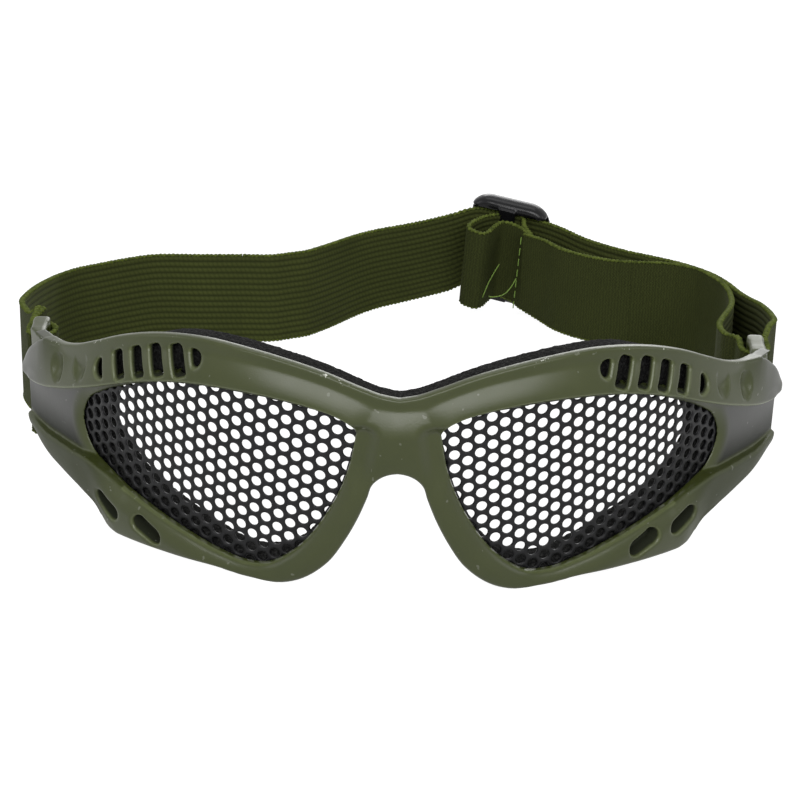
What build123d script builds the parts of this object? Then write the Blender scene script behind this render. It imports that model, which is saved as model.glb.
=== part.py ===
from build123d import *
import os
from math import asin, cos, degrees, radians, sin, tan

os.makedirs("parts", exist_ok=True)

# Mesh safety goggles: a one-piece moulded frame that wraps round the face, two perforated
# steel lenses, a foam liner and an elastic head strap with a slider. Millimetres, +Z up,
# the wearer's face is towards +Y. Right means +X, on the right of a picture from the front.

# Frame as a whole
frame_half_width = 82.7
frame_height = 50.8
wrap_radius_share = 1.0641
temple_radius_share = 2.0556
handover_share = 0.8464
wrap_radius = wrap_radius_share * frame_half_width
temple_radius = temple_radius_share * frame_half_width
handover_half_width = handover_share * frame_half_width
temple_end_angle = 66.0
lean = 8.0
lean_pivot_height = 34.2
rest_flat = 0.3

# Frame walls, measured square to the wrap surface
back_depth = 1.6
wall_proud = 0.6
rim_proud = 3.0
lens_pocket_depth = 0.9
lens_margin = 1.5

# Vents, dimples and lower slots in the frame
vent_width = 2.9
vent_length = 6.6
vent_corner = 0.7
vent_tilt = 14.0
outer_moon_width = 2.3
outer_moon_length = 5.8
inner_moon_width = 1.9
inner_moon_length = 4.8
outer_dimple_width = 2.7
outer_dimple_length = 5.8
inner_dimple_width = 3.3
inner_dimple_length = 7.0
dimple_depth = 0.8
lower_slot_length = 6.5
lower_slot_width = 3.0
lower_slot_tilt = 32.0

# Mesh lenses
lens_thickness = 0.6
lens_fit = 0.15
hole_pitch = 3.0
hole_diameter = 2.2
hole_web = 0.45

# Foam liner
foam_depth = 5.6
foam_inset = 0.8
glue_line = 0.15
foam_side_share = 0.86

# Strap webbing and the posts that it turns round, in the frame's own axes
strap_width = 25.0
strap_thickness = 1.3
strap_gap = 0.4
post_diameter = 3.6
post_inset = 5.7
post_depth_share = 0.6723
post_x = frame_half_width - post_inset
post_y = post_depth_share * frame_half_width
strap_bottom_height = 5.1
bridge_thickness = 1.8
lower_bridge_thickness = 1.4
leg_length = 5.4
leg_end_y = post_y + leg_length
sewn_length = 7.0

# Strap behind the frame, as it stands on the table
strap_overhang = 7.5
strap_spread = frame_half_width + strap_overhang
strap_reach = 213.0
leg_straight = 8.0
loop_lead = 5.0
bend_share = 0.4
left_split_share = 0.5
right_split_share = 0.68
rest_start_share = 0.70
rest_end_share = 0.925
lift_end_share = 0.970

# Slider: two end bars outside the strap, a centre bar inside it, joined by two rails
slider_length = 24.5
slider_end_bar = 3.5
slider_rail = 3.4
strap_off_rail = 0.4
slider_height = strap_width + 2 * (strap_off_rail + slider_rail)
strap_rear_lift = strap_off_rail + slider_rail
slider_corner = 6.5
slider_bar_thickness = 1.5
slider_centre_bar = 5.0
slider_rail_front = 3.2
slider_x = 30.0
slider_yaw = 20.0
slider_straight = 18.0
slot_gap = 0.25

# Stitching
stitch_thickness = 0.4
stitch_width = 0.6
stitch_length = 2.6
stitch_pitch = 4.4
stitch_count = 5

# Overrun that lets every cut pass right through
overrun = 20.0

# Outlines of the right half, as shares of the half width and of the height
BROW_TOP_SHARES = [(0, .845), (.09, .885), (.179, .935), (.268, .970), (.359, .994), (.453, 1), (.514, .990),
                   (.600, .955), (.683, .894), (.755, .817), (.818, .746), (.866, .700), (.935, .665)]
WING_TIP_SHARES = [(.935, .665), (.968, .618), (.988, .570), (1, .511)]
TIP_BACK_SHARES = [(1, .511), (.984, .468)]
SIDE_END_SHARES = [(.984, .468), (.984, .300)]
FLANGE_SHARES = [(.984, .300), (.971, .236), (.900, .180), (.800, .091), (.748, .040)]
CORNER_SHARES = [(.748, .040), (.700, 0)]
BOTTOM_SHARES = [(.700, 0), (.545, .013), (.455, .015), (.325, 0)]
NOSE_SHARES = [(.325, 0), (.249, .024), (.167, .125), (.125, .232), (.095, .332), (.072, .430), (.045, .514),
               (0, .541)]
WINDOW_TOP_SHARES = [(.104, .695), (.118, .742), (.145, .768), (.206, .800), (.300, .824), (.400, .829),
                     (.515, .812), (.625, .760), (.768, .640), (.871, .540), (.943, .484), (1.03, .468)]
WINDOW_END_SHARES = [(1.03, .468), (1.03, .262)]
WINDOW_BOTTOM_SHARES = [(1.03, .262), (.945, .264), (.855, .292), (.785, .297), (.745, .258)]
WINDOW_STEP_SHARES = [(.745, .258), (.677, .205)]
LENS_TOP_SHARES = [(.104, .695), (.145, .734), (.206, .760), (.300, .781), (.400, .786), (.515, .769),
                   (.600, .735), (.663, .690)]
LENS_SIDE_SHARES = [(.663, .690), (.752, .595), (.800, .510), (.815, .420), (.800, .335), (.740, .258),
                    (.677, .205)]
LENS_BOTTOM_SHARES = [(.677, .205), (.541, .126), (.455, .082), (.385, .059), (.325, .068), (.266, .132),
                      (.170, .345), (.122, .540), (.104, .695)]
EYE_SHARES = [(.145, .70), (.21, .75), (.32, .77), (.50, .75), (.62, .68), (.70, .56), (.72, .42), (.66, .28),
              (.55, .18), (.44, .12), (.35, .10), (.28, .18), (.20, .36), (.155, .54)]
VENT_SHARES = [(.5415, .888), (.598, .861), (.649, .824), (.700, .781)]
OUTER_MOON_SHARE = (.755, .737)
INNER_MOON_SHARE = (.486, .914)
OUTER_DIMPLE_SHARE = (.887, .614)
INNER_DIMPLE_SHARE = (.821, .690)
LOWER_SLOT_SHARES = [(.716, .140), (.614, .105)]

# Strap routes seen from above, as shares of the spread and of the reach
LEFT_ROUTE_SHARES = [(-1, .460), (-1, .625), (-.925, .762), (-.70, .834), (-.36, .840), (-.155, .975)]
RIGHT_ROUTE_SHARES = [(.84, .855), (.945, .714), (1, .545), (1, .432)]
INNER_ROUTE_SHARES = [(.812, .39), (.905, .600), (.925, .714), (.84, .828), (.65, .838), (.514, .880)]

# Route of the sewn end loop, as shares of the slider's length: along it, and away from the face
END_LOOP_SHARES = [(.51, -.61), (.196, -.306), (0, -.27), (-.196, -.706), (-.367, -.653),
                   (-.245, -.062), (.171, -.062), (.257, -.261), (.43, -.43)]


def turned(route, side):
    """The route's points moved to the left by a distance."""
    steps = [(b - a).normalized() for a, b in zip(route, route[1:])]
    lefts = [Vector(-d.Y, d.X) for d in steps]
    moved = [route[0] + lefts[0] * side]
    for place, before, after in zip(route[1:], lefts, lefts[1:]):
        moved.append(place + (before + after) * (side / (1 + before.dot(after))))
    return moved + [route[-1] + lefts[-1] * side]


def outline(curves, side=0):
    """Smooth curves through lists of shares that follow one another clockwise, moved out by a distance.
    A chain that starts and ends on the middle line is moved as half of a symmetrical outline."""
    chain = [Vector(a * frame_half_width, b * frame_height) for curve in curves for a, b in curve[:-1]]
    closed = curves[0][0] == curves[-1][-1]
    if closed:
        before, after = chain[-1], chain[0]
    else:
        last = curves[-1][-1]
        chain.append(Vector(last[0] * frame_half_width, last[1] * frame_height))
        before, after = [Vector(-p.X, p.Y) for p in (chain[1], chain[-2])]
    chain = turned([before, *chain, after], side)[1:-1]
    edges, start = [], 0
    for curve in curves:
        span = [chain[(start + i) % len(chain)] for i in range(len(curve))]
        edges.append(Spline(*span) if len(span) > 2 else Line(*span))
        start += len(curve) - 1
    if not closed:
        edges.append(Line(chain[-1], chain[0]))
    return make_face(edges)


def prism(face):
    """A solid of the front view's outline, straight through the frame from front to back."""
    return extrude(Plane.XZ * face, amount=frame_half_width, both=True)


def wrap_slab(back, front):
    """The layer of the wrapped frame from one distance off the wrap surface to another.
    Distances towards the viewer are positive."""
    hand = degrees(asin(handover_half_width / wrap_radius))
    temple_x = handover_half_width - temple_radius * sin(radians(hand))
    temple_y = wrap_radius + (temple_radius - wrap_radius) * cos(radians(hand))
    edges = []
    for off in (back, front):
        middle = CenterArc((0, wrap_radius), wrap_radius + off, -90 - hand, 2 * hand)
        side = CenterArc((temple_x, temple_y), temple_radius + off, -90 + hand, temple_end_angle - hand)
        edges += [middle, side, mirror(side, about=Plane.YZ)]
    ends = [edges[1] @ 1, edges[4] @ 1]
    edges.append(Line(*ends))
    edges.append(Line(*[Vector(-p.X, p.Y) for p in ends]))
    return Pos(0, 0, -overrun) * extrude(make_face(edges), amount=frame_height + 2 * overrun)


def half_silhouette(side=0):
    return outline([BROW_TOP_SHARES, WING_TIP_SHARES, TIP_BACK_SHARES, SIDE_END_SHARES, FLANGE_SHARES,
                    CORNER_SHARES, BOTTOM_SHARES, NOSE_SHARES], side)


def window_face():
    """The recess between brow, flange and nose, which holds the lens opening and the side wall."""
    return outline([WINDOW_TOP_SHARES, WINDOW_END_SHARES, WINDOW_BOTTOM_SHARES, WINDOW_STEP_SHARES,
                    LENS_BOTTOM_SHARES])


def opening_face(side=0):
    """The lens opening, inside the window."""
    return outline([LENS_TOP_SHARES, LENS_SIDE_SHARES, LENS_BOTTOM_SHARES], side)


def on_wall(share):
    """A plane square to the wrap surface, at a place given by its shares of the front view."""
    x = share[0] * frame_half_width
    turn = asin(x / wrap_radius)
    return Plane(origin=(x, wrap_radius * (1 - cos(turn)), share[1] * frame_height),
                 x_dir=(cos(turn), sin(turn), 0), z_dir=(sin(turn), -cos(turn), 0))


def through(share, tilt, face):
    """A cut square through the wall."""
    return extrude(on_wall(share) * Rot(0, 0, tilt) * face, amount=overrun / 2, both=True)


def vents():
    """Four slanted slots with a half moon at each end, cut right through the brow."""
    cuts = [through(share, -vent_tilt, RectangleRounded(vent_width, vent_length, vent_corner))
            for share in VENT_SHARES]
    moons = [(OUTER_MOON_SHARE, outer_moon_width, outer_moon_length, 1),
             (INNER_MOON_SHARE, inner_moon_width, inner_moon_length, -1)]
    for share, width, length, way in moons:
        ends = [Vector(0, -length / 2), Vector(0, length / 2)]
        moon = make_face([Line(*ends), ThreePointArc(ends[0], (way * width, 0), ends[1])])
        cuts.append(through(share, -vent_tilt, moon))
    return cuts


def lower_slots():
    slot = SlotOverall(lower_slot_length, lower_slot_width)
    return [through(share, lower_slot_tilt, slot) for share in LOWER_SLOT_SHARES]


def dimples():
    """Two blind thumbprint hollows in each wing."""
    skin = wrap_slab(rim_proud - dimple_depth, rim_proud + overrun / 4)
    cuts = []
    for share, width, length in ((OUTER_DIMPLE_SHARE, outer_dimple_width, outer_dimple_length),
                                 (INNER_DIMPLE_SHARE, inner_dimple_width, inner_dimple_length)):
        cuts.append(through(share, -vent_tilt / 2, Ellipse(width / 2, length / 2)) & skin)
    return cuts


def strap_top():
    return strap_bottom_height + strap_width


def staple():
    """The loop that the strap is threaded through: a front leg on the wing, two bridges and the post."""
    half = post_diameter / 2
    turn_front = post_y - half - strap_gap - strap_thickness
    low = strap_bottom_height - strap_gap - lower_bridge_thickness
    high = strap_top() + strap_gap + bridge_thickness
    leg = Box(post_diameter, turn_front - strap_gap, high - low, align=(Align.CENTER, Align.MIN, Align.MIN))
    leg = Pos(post_x, 0, low) * leg & wrap_slab(-post_y, -back_depth / 3)
    post = Cylinder(half, high - low, align=(Align.CENTER, Align.CENTER, Align.MIN))
    post = Pos(post_x, post_y, low) * post
    parts = [leg, post]
    reach = post_y - turn_front + strap_gap
    for bottom, thick in ((low, lower_bridge_thickness), (high - bridge_thickness, bridge_thickness)):
        bridge = Box(post_diameter, reach, thick, align=(Align.CENTER, Align.MAX, Align.MIN))
        parts.append(Pos(post_x, post_y, bottom) * bridge)
    return parts


def frame_solid():
    half = prism(half_silhouette())
    window = prism(window_face())
    rim = (half - window) & wrap_slab(-back_depth, rim_proud)
    wall = (half & window) & wrap_slab(-back_depth, wall_proud)
    pocket = prism(opening_face(lens_margin))
    pocket = pocket & wrap_slab(-back_depth - overrun / 4, lens_pocket_depth - back_depth)
    side = rim + wall - prism(opening_face()) - pocket
    side = side - vents() - lower_slots() - dimples()
    side = side + staple()
    return side + mirror(side, about=Plane.YZ)


def lens_solid():
    """A curved perforated sheet, its holes drilled square to the curve in a staggered pattern."""
    back = lens_fit - back_depth
    edge = lens_margin - lens_fit
    sheet = prism(opening_face(edge)) & wrap_slab(back, back + lens_thickness)
    inner = opening_face(edge - hole_diameter / 2 - hole_web).faces()[0]
    radius = wrap_radius + back + lens_thickness / 2
    step = hole_pitch * cos(radians(30)) / radius
    holes = []
    for column in range(int(handover_half_width / hole_pitch / cos(radians(30))) + 6):
        angle = column * step
        x = radius * sin(angle)
        for row in range(int(frame_height / hole_pitch) + 1):
            z = (row + column % 2 / 2) * hole_pitch
            if inner.is_inside(Vector(x, z)):
                spot = Plane(origin=(x, wrap_radius - radius * cos(angle), z),
                             z_dir=(sin(angle), -cos(angle), 0))
                holes.append(spot * Cylinder(hole_diameter / 2, 4 * lens_thickness))
    return sheet - holes


def foam_solid():
    """A soft ring against the back of the frame, open at both eyes."""
    ring = half_silhouette(-foam_inset)
    keep = Box(2 * foam_side_share * frame_half_width, 2 * frame_half_width, 3 * frame_height)
    eye_points = [Vector(a * frame_half_width, b * frame_height) for a, b in EYE_SHARES]
    eye = make_face(Spline(*eye_points, periodic=True))
    front = -back_depth - glue_line
    body = prism(ring) - prism(eye)
    body = body & keep & wrap_slab(front - foam_depth, front)
    return body + mirror(body, about=Plane.YZ)


def bend_radii(route, side):
    """One radius for each corner, as large as a share of its shorter run allows."""
    radii = []
    for before, here, after in zip(route, route[1:], route[2:]):
        first, second = here - before, after - here
        turn = radians(first.get_angle(second))
        middle = bend_share * min(first.length, second.length) / tan(turn / 2)
        radii.append(middle - side if first.cross(second).Z > 0 else middle + side)
    return radii


def ribbon(route):
    """The strap's edge-on shape seen from above, along straight runs joined by arcs."""
    half = strap_thickness / 2
    sides = [FilletPolyline(*turned(route, side), radius=bend_radii(route, side)) for side in (half, -half)]
    starts = Line(sides[0] @ 0, sides[1] @ 0)
    ends = Line(sides[0] @ 1, sides[1] @ 1)
    return make_face([*sides, starts, ends])


def turn_radius():
    return (post_diameter + strap_thickness) / 2 + strap_gap


def route_points(shares):
    return [Vector(a * strap_spread, b * strap_reach) for a, b in shares]


def slider_point(along, out):
    """A place given along the slider and away from the face, as a point of the plan."""
    yaw = radians(slider_yaw)
    across = slider_x + along * cos(yaw) + out * sin(yaw)
    return Vector(across, strap_reach - along * sin(yaw) + out * cos(yaw))


def running_route():
    """The strap from the left post round the back, through the slider, to the right post."""
    leg = post_x + turn_radius()
    left = [Vector(-leg, post_y), Vector(-leg, leg_end_y + sewn_length + leg_straight)]
    right = [Vector(leg, leg_end_y + leg_straight), Vector(leg, post_y)]
    middle = [slider_point(-slider_straight, 0), slider_point(slider_straight, 0)]
    return left + route_points(LEFT_ROUTE_SHARES) + middle + route_points(RIGHT_ROUTE_SHARES) + right


def loop_route():
    return [slider_point(a * slider_length, b * slider_length) for a, b in END_LOOP_SHARES]


def inner_route():
    """The strap's second layer, from the right post back to the slider."""
    second, first = loop_route()[1], loop_route()[0]
    lead = first + (first - second).normalized() * loop_lead
    return [Vector(post_x - turn_radius(), post_y), *route_points(INNER_ROUTE_SHARES), lead, first]


def leaned(y, z):
    """A point of the frame's own side view, as it stands on the table."""
    height = z - lean_pivot_height
    along = y * cos(radians(lean)) - height * sin(radians(lean))
    return along, lean_pivot_height + y * sin(radians(lean)) + height * cos(radians(lean)) + frame_lift()


def side_band(leg_end):
    """The strap's side view, down from the posts to the table and up again to the slider."""
    low = [leaned(leg_end, strap_bottom_height), (rest_start_share * strap_reach, 0),
           (rest_end_share * strap_reach, 0), (lift_end_share * strap_reach, strap_rear_lift),
           (2 * strap_reach, strap_rear_lift)]
    high = [(y, z + strap_width) for y, z in reversed(low[1:])] + [leaned(leg_end, strap_top())]
    outline = [Vector(0, y, z) for y, z in low + high]
    face = make_face(Polyline(*outline, close=True))
    return extrude(face, amount=2 * strap_spread, dir=(1, 0, 0), both=True)


def between(low, high):
    """Everything from one distance across to another."""
    block = Box(high - low, 4 * strap_reach, 4 * strap_width, align=(Align.MIN, Align.CENTER, Align.CENTER))
    return Pos(low, 0, 0) * block


def wall(route):
    return extrude(ribbon(route), amount=2 * strap_width)


def bands():
    """The strap's free stretches, cut where the side runs meet the part behind the head."""
    left_split = -left_split_share * strap_spread
    right_split = right_split_share * strap_spread
    far = 2 * strap_spread
    running = wall(running_route())
    inner = wall(inner_route())
    left_view, right_view = side_band(leg_end_y + sewn_length), side_band(leg_end_y)
    return {
        "left_side_band": running & left_view & between(-far, left_split),
        "rear_band": running & right_view & between(left_split, right_split),
        "right_outer_band": running & right_view & between(right_split, far),
        "right_inner_band": inner & right_view & between(right_split, far),
        "inner_band_end": inner & right_view & between(0, right_split),
    }


def half_turn(leg_end):
    """The strap's turn round a post, with its outer leg."""
    radius, half = turn_radius(), strap_thickness / 2
    ring = Circle(radius + half) - Circle(radius - half)
    front = Pos(0, -radius) * Rectangle(4 * radius, 2 * radius)
    leg = Rectangle(strap_thickness, leg_end - post_y, align=(Align.CENTER, Align.MIN))
    return Pos(post_x, post_y) * ((ring & front) + Pos(radius, 0) * leg)


def raised(face):
    return Pos(0, 0, strap_bottom_height) * extrude(face, amount=strap_width)


def right_turn():
    leg = Rectangle(strap_thickness, leg_end_y - post_y, align=(Align.CENTER, Align.MIN))
    return raised(half_turn(leg_end_y) + Pos(post_x - turn_radius(), post_y) * leg)


def left_loop():
    """The strap's end, turned round the left post and sewn back on to itself."""
    leg_end = leg_end_y + sewn_length
    inner, tail = post_x - turn_radius(), post_x + turn_radius() - strap_thickness
    bend = [Vector(inner, post_y), Vector(inner, post_y + post_diameter / 2),
            Vector(tail, leg_end_y - strap_thickness), Vector(tail, leg_end - strap_thickness)]
    return mirror(raised(half_turn(leg_end) + ribbon(bend)), about=Plane.YZ)


def stitches(plane):
    """A row of stitches up the strap, lying on the face that the plane gives."""
    row = []
    for index in range(stitch_count):
        height = (index - (stitch_count - 1) / 2) * stitch_pitch
        stitch = Box(stitch_width, stitch_length, stitch_thickness,
                     align=(Align.CENTER, Align.CENTER, Align.MIN))
        row.append(plane * Pos(0, height, 0) * stitch)
    return row


def left_stitches():
    middle = strap_bottom_height + strap_width / 2
    outside = post_x + turn_radius() + strap_thickness / 2
    origin = (-outside, leg_end_y + sewn_length / 3, middle)
    return stitches(Plane(origin=origin, x_dir=(0, -1, 0), z_dir=(-1, 0, 0)))


def end_stitches():
    """The seam through both layers of the end loop, seen on the side of the face."""
    first, second = loop_route()[:2]
    along = (second - first).normalized()
    outward = Vector(along.Y, -along.X)
    if outward.Y > 0:
        outward = -outward
    place = first + (second - first) * 0.5 + outward * (strap_thickness / 2)
    origin = (place.X, place.Y, strap_rear_lift + strap_width / 2)
    return stitches(Plane(origin=origin, x_dir=Vector(0, 0, 1).cross(outward), z_dir=outward))


def end_loop():
    return Pos(0, 0, strap_rear_lift) * extrude(ribbon(loop_route()), amount=strap_width)


def slider():
    """A moulded slider. Its centre bar stands inside the strap and its end bars outside."""
    outer_face = strap_thickness / 2 + slot_gap
    bar_face = outer_face + slider_bar_thickness
    slot = slider_height - 2 * slider_rail
    inside = slider_length - 2 * slider_end_bar
    plate = RectangleRounded(slider_length, slider_height, slider_corner)
    body = extrude(plate, amount=slider_rail_front + bar_face)
    body = Pos(0, 0, -bar_face) * body
    face_cut = Box(2 * slider_length, slot, overrun, align=(Align.CENTER, Align.CENTER, Align.MIN))
    body = body - Pos(0, 0, -outer_face) * face_cut
    body = body - Box(inside, slot, overrun)
    bar_front = strap_thickness / 2 + 2 * slot_gap + strap_thickness + slot_gap / 2
    bar = Box(slider_centre_bar, slot + slider_rail, slider_bar_thickness,
              align=(Align.CENTER, Align.CENTER, Align.MIN))
    body = body + Pos(0, 0, bar_front) * bar
    yaw = radians(slider_yaw)
    centre = Plane(origin=(slider_x, strap_reach, slider_height / 2), x_dir=(cos(yaw), -sin(yaw), 0),
                   z_dir=(-sin(yaw), -cos(yaw), 0))
    return centre * body


def stand(shape):
    """A piece of the frame, leaned and set down on the table."""
    pivot = Pos(0, 0, lean_pivot_height)
    return Pos(0, 0, frame_lift()) * pivot * Rot(lean, 0, 0) * pivot.inverse() * shape


lift_found = []


def frame_lift():
    """How far the leaned frame is raised so that the flats under its lobes touch the table."""
    if not lift_found:
        pivot = Pos(0, 0, lean_pivot_height)
        half = prism(half_silhouette()) & wrap_slab(-back_depth, rim_proud)
        lowest = (pivot * Rot(lean, 0, 0) * pivot.inverse() * half).bounding_box().min.Z
        lift_found.append(-lowest - rest_flat)
    return lift_found[0]


def rested(shape):
    """A solid cut off level at the table."""
    return shape - Box(4 * frame_half_width, 4 * frame_half_width, overrun,
                       align=(Align.CENTER, Align.CENTER, Align.MAX))


def goggles():
    lens = lens_solid()
    nodes = {
        "frame": rested(stand(frame_solid())),
        "right_mesh_lens": stand(lens),
        "left_mesh_lens": stand(mirror(lens, about=Plane.YZ)),
        "foam_liner": stand(foam_solid()),
        "left_post_loop": stand(left_loop()),
        "left_loop_stitching": stand(Compound(children=left_stitches())),
        "right_post_turn": stand(right_turn()),
        **bands(),
        "strap_slider": slider(),
        "slider_end_loop": end_loop(),
        "end_seam_stitching": Compound(children=end_stitches()),
    }
    return nodes


def write(nodes):
    """Every node in one frame, with the origin under the middle of the whole."""
    box = Compound(children=[Compound(shape.wrapped) for shape in nodes.values()]).bounding_box()
    middle = (box.min.Y + box.max.Y) / 2
    for name, shape in nodes.items():
        export_step(Pos(0, -middle, 0) * shape, f"parts/{name}.step")


write(goggles())
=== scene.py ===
from itertools import product
from math import asin, cos, pi, radians, sin

import bpy
import numpy as np
from mathutils import Matrix, Vector


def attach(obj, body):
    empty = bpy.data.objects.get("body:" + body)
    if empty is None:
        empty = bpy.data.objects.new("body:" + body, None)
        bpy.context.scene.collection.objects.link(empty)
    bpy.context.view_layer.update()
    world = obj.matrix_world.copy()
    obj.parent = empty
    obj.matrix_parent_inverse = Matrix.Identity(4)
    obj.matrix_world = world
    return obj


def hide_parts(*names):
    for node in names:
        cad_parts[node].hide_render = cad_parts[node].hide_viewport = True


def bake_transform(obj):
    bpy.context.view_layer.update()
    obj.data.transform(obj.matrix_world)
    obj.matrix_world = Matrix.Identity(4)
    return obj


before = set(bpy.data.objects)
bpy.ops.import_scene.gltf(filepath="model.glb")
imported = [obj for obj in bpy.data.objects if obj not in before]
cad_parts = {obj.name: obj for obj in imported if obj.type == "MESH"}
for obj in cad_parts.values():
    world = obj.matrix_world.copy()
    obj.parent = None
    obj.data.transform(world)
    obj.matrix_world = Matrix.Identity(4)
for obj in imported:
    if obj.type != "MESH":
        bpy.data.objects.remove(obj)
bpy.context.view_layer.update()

# Mesh safety goggles. Lengths below are millimetres in the frame's own axes, before it leans
# forward on the table; everything is turned into metres in the row frame when a mesh is made.
MM = 0.001
# More than any distance in the part
FAR = 99.0
SIDE_NAMES = {1: "right", -1: "left"}

# The frame's wrap surface, as in the solids
HALF_WIDTH = 82.7
HEIGHT = 50.8
WRAP_RADIUS = 88.0
TEMPLE_RADIUS = 170.0
HANDOVER_X = 70.0
HANDOVER_ANGLE = asin(HANDOVER_X / WRAP_RADIUS)
HANDOVER_ARC = WRAP_RADIUS * HANDOVER_ANGLE
TEMPLE_X = HANDOVER_X - TEMPLE_RADIUS * sin(HANDOVER_ANGLE)
TEMPLE_Y = WRAP_RADIUS + (TEMPLE_RADIUS - WRAP_RADIUS) * cos(HANDOVER_ANGLE)

# How the frame leans on the table
LEAN = radians(8.0)
PIVOT_HEIGHT = 34.2
FRAME_LIFT = -0.736
MIDDLE_Y = 107.607

# Frame walls, as distances off the wrap surface; towards the viewer is positive
BACK = -1.6
WALL_FACE = 0.6
RIM_FACE = 3.0
BROW_TOP_FACE = -1.0
LENS_EDGE_FACE = 1.2
POCKET_FACE = -0.7
POCKET_MARGIN = 3.2
SHELL = 1.6
EDGE_WALL = 2.0
GRID = 0.30

# How the rim's front face falls back: towards the top of the brow, round the lens, in a dish beside
# the nose, along the flange and round the bottom edge; and how the wall slopes into the lens
BROW_CURVE = 1.4
WING_FLATNESS = 0.75
LENS_BEVEL_WIDTH = 4.2
LENS_BEVEL_CURVE = 1.8
NOSE_DISH_DEPTH = 1.9
NOSE_DISH_WIDTH = 5.6
FLANGE_SLOPE = 0.15
FLANGE_SLOPE_WIDTH = 9.0
FLANGE_END_FALL = 1.0
BOTTOM_FALL = 0.5
BOTTOM_FALL_WIDTH = 5.0
FUNNEL_DEPTH = 1.5
FUNNEL_WIDTH = 3.2

# Strap
STRAP_WIDTH = 25.0
STRAP_THICKNESS = 1.3
EDGE_RADIUS = 0.40
RIBS = 15
LOOP_PITCH = 1.15
EDGE_POINTS = 8

# Outlines of the right half, as shares of the half width and of the height
BROW_TOP = [(0, .842), (.045, .856), (.09, .882), (.179, .935), (.268, .970), (.359, .992), (.453, 1),
            (.514, .990), (.600, .955), (.683, .894), (.755, .817), (.818, .746), (.866, .706),
            (.905, .694), (.935, .690)]
WING_TIP = [(.935, .690), (.950, .668), (.966, .636), (.984, .595), (1.000, .536), (1.009, .486),
            (1.004, .460), (.985, .452)]
SIDE_END = [(.992, .440), (.992, .275)]
FLANGE = [(1.000, .250), (.998, .212), (.975, .183), (.930, .150), (.885, .124), (.830, .092), (.782, .058),
          (.762, .034)]
CORNER = [(.762, .034), (.742, .012), (.712, 0)]
BOTTOM = [(.712, 0), (.545, .013), (.455, .015), (.390, .004), (.325, 0)]
NOSE = [(.325, 0), (.285, .006), (.249, .024), (.167, .125), (.125, .232), (.095, .332), (.072, .430),
        (.060, .488), (.045, .514), (.022, .534), (0, .541)]
RIDGE_START = [(0, .700), (.05, .698), (.104, .695)]
BROW_EDGE = [(.104, .695), (.118, .742), (.145, .768), (.206, .800), (.300, .824), (.400, .829),
             (.515, .812), (.625, .760), (.768, .640), (.871, .540), (.930, .484), (.975, .456), (1.04, .448)]
WINDOW_END = [(1.04, .448), (1.04, .262)]
WINDOW_UNDER = [(1.04, .262), (.975, .257), (.930, .260), (.885, .271), (.835, .280), (.785, .283),
                (.745, .256)]
WINDOW_STEP = [(.745, .258), (.677, .205)]
LENS_TOP = [(.104, .695), (.145, .734), (.206, .760), (.300, .781), (.400, .786), (.515, .769),
            (.600, .735), (.663, .690)]
LENS_SIDE = [(.663, .690), (.752, .595), (.800, .510), (.815, .420), (.800, .335), (.740, .258), (.677, .205)]
LENS_BOTTOM = [(.677, .205), (.541, .126), (.455, .082), (.385, .059), (.325, .068), (.266, .132),
               (.170, .345), (.122, .540), (.104, .695)]
EYE = [(.108, .71), (.16, .77), (.22, .80), (.32, .81), (.50, .79), (.63, .74), (.73, .61), (.765, .44),
       (.70, .30), (.57, .19), (.46, .12), (.37, .08), (.25, .14), (.165, .33), (.120, .54), (.108, .71)]

# The same curves, each with how far off the wrap surface it was seen, in the order that closes a line
TOP = [(BROW_TOP, -1.0), (WING_TIP, 2.6)]
SILHOUETTE = TOP + [(SIDE_END, 0.6), (FLANGE, 1.5), (CORNER, 2.0), (BOTTOM, 2.0), (NOSE, 2.4)]
WINDOW_LOW = [(WINDOW_END, 2.0), (WINDOW_UNDER, 1.5), (WINDOW_STEP, 1.5)]
WINDOW = [(BROW_EDGE, RIM_FACE)] + WINDOW_LOW + [(LENS_BOTTOM, 1.6)]
LENS = [(LENS_TOP, 0.6), (LENS_SIDE, 0.6), (LENS_BOTTOM, 1.6)]

# Vents: the top and the bottom end of each slot's middle line, and of each half moon's straight side
# with its width and the way it bulges
VENTS = [((.5555, .944), (.5275, .831)), ((.612, .917), (.584, .8055)),
         ((.663, .877), (.635, .771)), ((.7135, .829), (.687, .7335))]
VENT_WIDTH = 3.0
VENT_CORNER = 0.7
VENT_OFF = 2.4
MOONS = [((.755, .767), (.739, .700), 2.6, 1), ((.515, .940), (.500, .878), 2.2, -1)]

# Dimples in the wing, each with its centre and its half sizes
DIMPLES = [((.8875, .614), 2.4, 3.1), ((.8215, .691), 2.7, 3.4)]
DIMPLE_DEPTH = 1.5
DIMPLE_SLANT = 0.16
DIMPLE_OFF = 2.8

# Lower slots, blind, at different places on the two sides
LOWER_SLOT_CENTRES = {-1: [(.743, .118), (.631, .087)], 1: [(.724, .136), (.621, .096)]}
LOWER_SLOT_LENGTH = 7.6
LOWER_SLOT_WIDTH = 3.5
LOWER_SLOT_TILT = radians(25.0)
LOWER_SLOT_OFF = 2.6
SLOT_FLOOR = -1.0

# The loops that the strap is threaded through; the left one stands a little further out
POST_X = {1: 77.0, -1: 79.2}
POST_Y = 55.6
POST_RADIUS = 1.8
STRAP_LOW = 6.0
STRAP_GAP = 0.4
TURN_RADIUS = POST_RADIUS + STRAP_THICKNESS / 2 + STRAP_GAP
TURN_FRONT = POST_Y - POST_RADIUS - STRAP_GAP - STRAP_THICKNESS
STAPLE_HALF = 1.65
STAPLE_INNER = -0.1
STAPLE_FOOT = 0.9
STAPLE_TOP = 1.8
STAPLE_LEG = 9.0
STAPLE_LINK = 1.6
STAPLE_BRIDGE = 3.5
STAPLE_GRID = 0.32
LEG_END_Y = 61.0
SEWN_LENGTH = 7.0

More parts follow.
